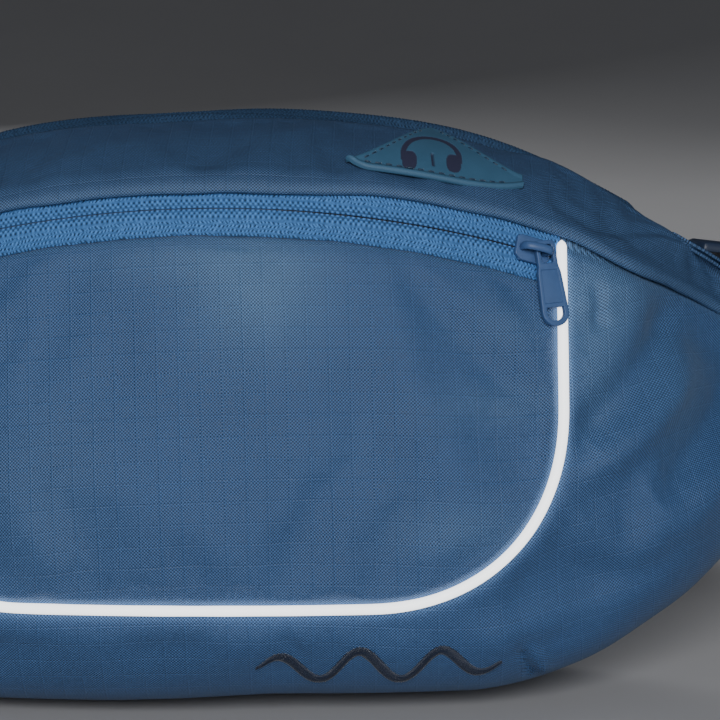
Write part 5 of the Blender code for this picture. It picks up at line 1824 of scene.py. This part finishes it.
def build_buckle():
    ledge = ribs((0.0284, 0.0302), -0.0056, 0.0, (0.0007, 0.0006, 0.030))
    rounded_copy("buckle_female_shell", "buckle_female", 0.0006, "root", ledge)
    grip = ribs((0.0372, 0.0388, 0.0404), -0.0041, 0.0, (0.0007, 0.0006, 0.026))
    rounded_copy("buckle_male_frame", "buckle_male", 0.0005, "buckle_male", grip)
    for side, height in (("upper", PRONG_TEETH_Z), ("lower", -PRONG_TEETH_Z)):
        teeth = ribs((0.0135, 0.0155, 0.0175, 0.0195), 0.0, height, (0.0006, 0.0052, 0.0008))
        rounded_copy(f"buckle_prong_{side}_arm", f"buckle_prong_{side}", 0.0004, f"prong_{side}", teeth)


# ---- stage

CAMERA_TARGET = Vector((0.0376, -0.010, 0.0969))
CAMERA_DISTANCE = 0.700
CAMERA_ELEVATION = math.radians(8.8)
CAMERA_LENS = 129.0
LIGHT_TARGET = (0.0, 0.0, 0.07)
# name, place, size, power, seen in gloss
LIGHTS = (("key", (0.02, -1.46, 0.66), 0.7, 19.0, True),
          ("fill", (1.10, -0.95, 0.45), 0.8, 1.5, True),
          ("back_left", (-0.70, 1.45, 0.50), 0.9, 10.5, False),
          ("back_right", (0.90, 1.30, 0.42), 0.9, 2.2, False))
FLOOR_FLAT = 1.2
FLOOR_REACH = 7.0
FLOOR_RISE = 4.5
FLOOR_CLOUD = 1000.0 / 6.0


def aim(obj, place, target):
    """Puts a camera or lamp at a place, looking at a target."""
    obj.location = place
    obj.rotation_euler = (Vector(target) - Vector(place)).to_track_quat("-Z", "Y").to_euler()


def build_stage():
    lens = bpy.data.cameras.new("camera")
    lens.lens = CAMERA_LENS
    lens.clip_start = 0.01
    camera = add_object("camera", lens)
    back = Vector((0.0, -math.cos(CAMERA_ELEVATION), math.sin(CAMERA_ELEVATION)))
    aim(camera, CAMERA_TARGET + CAMERA_DISTANCE * back, CAMERA_TARGET)
    bpy.context.scene.camera = camera
    build_floor()
    for name, place, size, power, glossy in LIGHTS:
        light = bpy.data.lights.new(name, "AREA")
        light.shape = "DISK"
        light.size = size
        light.energy = power
        lamp = add_object(name, light)
        lamp.visible_glossy = glossy
        aim(lamp, place, LIGHT_TARGET)
    world = bpy.data.worlds.new("studio")
    world.use_nodes = True
    background = world.node_tree.nodes["Background"]
    background.inputs["Color"].default_value = (0.86, 0.90, 1.0, 1.0)
    background.inputs["Strength"].default_value = 0.07
    bpy.context.scene.world = world


def build_floor():
    """A pale sweep: flat round the bag, and curving up far away on every side."""
    reach = np.concatenate((np.linspace(0.0, FLOOR_FLAT, 13), np.linspace(FLOOR_FLAT + 0.1, FLOOR_REACH, 40)))
    climb = clamp((reach - FLOOR_FLAT) / (FLOOR_REACH - FLOOR_FLAT))
    turn = column(0.0, math.tau, 97)
    points = vectors(reach * np.cos(turn), reach * np.sin(turn), FLOOR_RISE * climb ** 2)
    floor = grid_piece("floor", points)
    flip_if_inward(floor, (0.0, 0.0, 1.0))
    shading = Shading("pale_floor", 0.75, Specular_IOR_Level=0.25)
    cloud = shading.noise(FLOOR_CLOUD, 3.0)
    put(shading.tree, shading.inputs["Base Color"], (0.96 + cloud * 0.08).tint((0.44, 0.44, 0.45)))
    floor.data.materials.append(shading.material)


build_stage()
build_pocket_panel()
wrap_panel = build_wrap_panel()
build_gusset()
build_back_panel()
build_piping()
build_zips()
build_sliders()
build_port()
build_mark(wrap_panel)
build_linings()
build_pad()
build_belt()
build_keeper()
build_buckle()
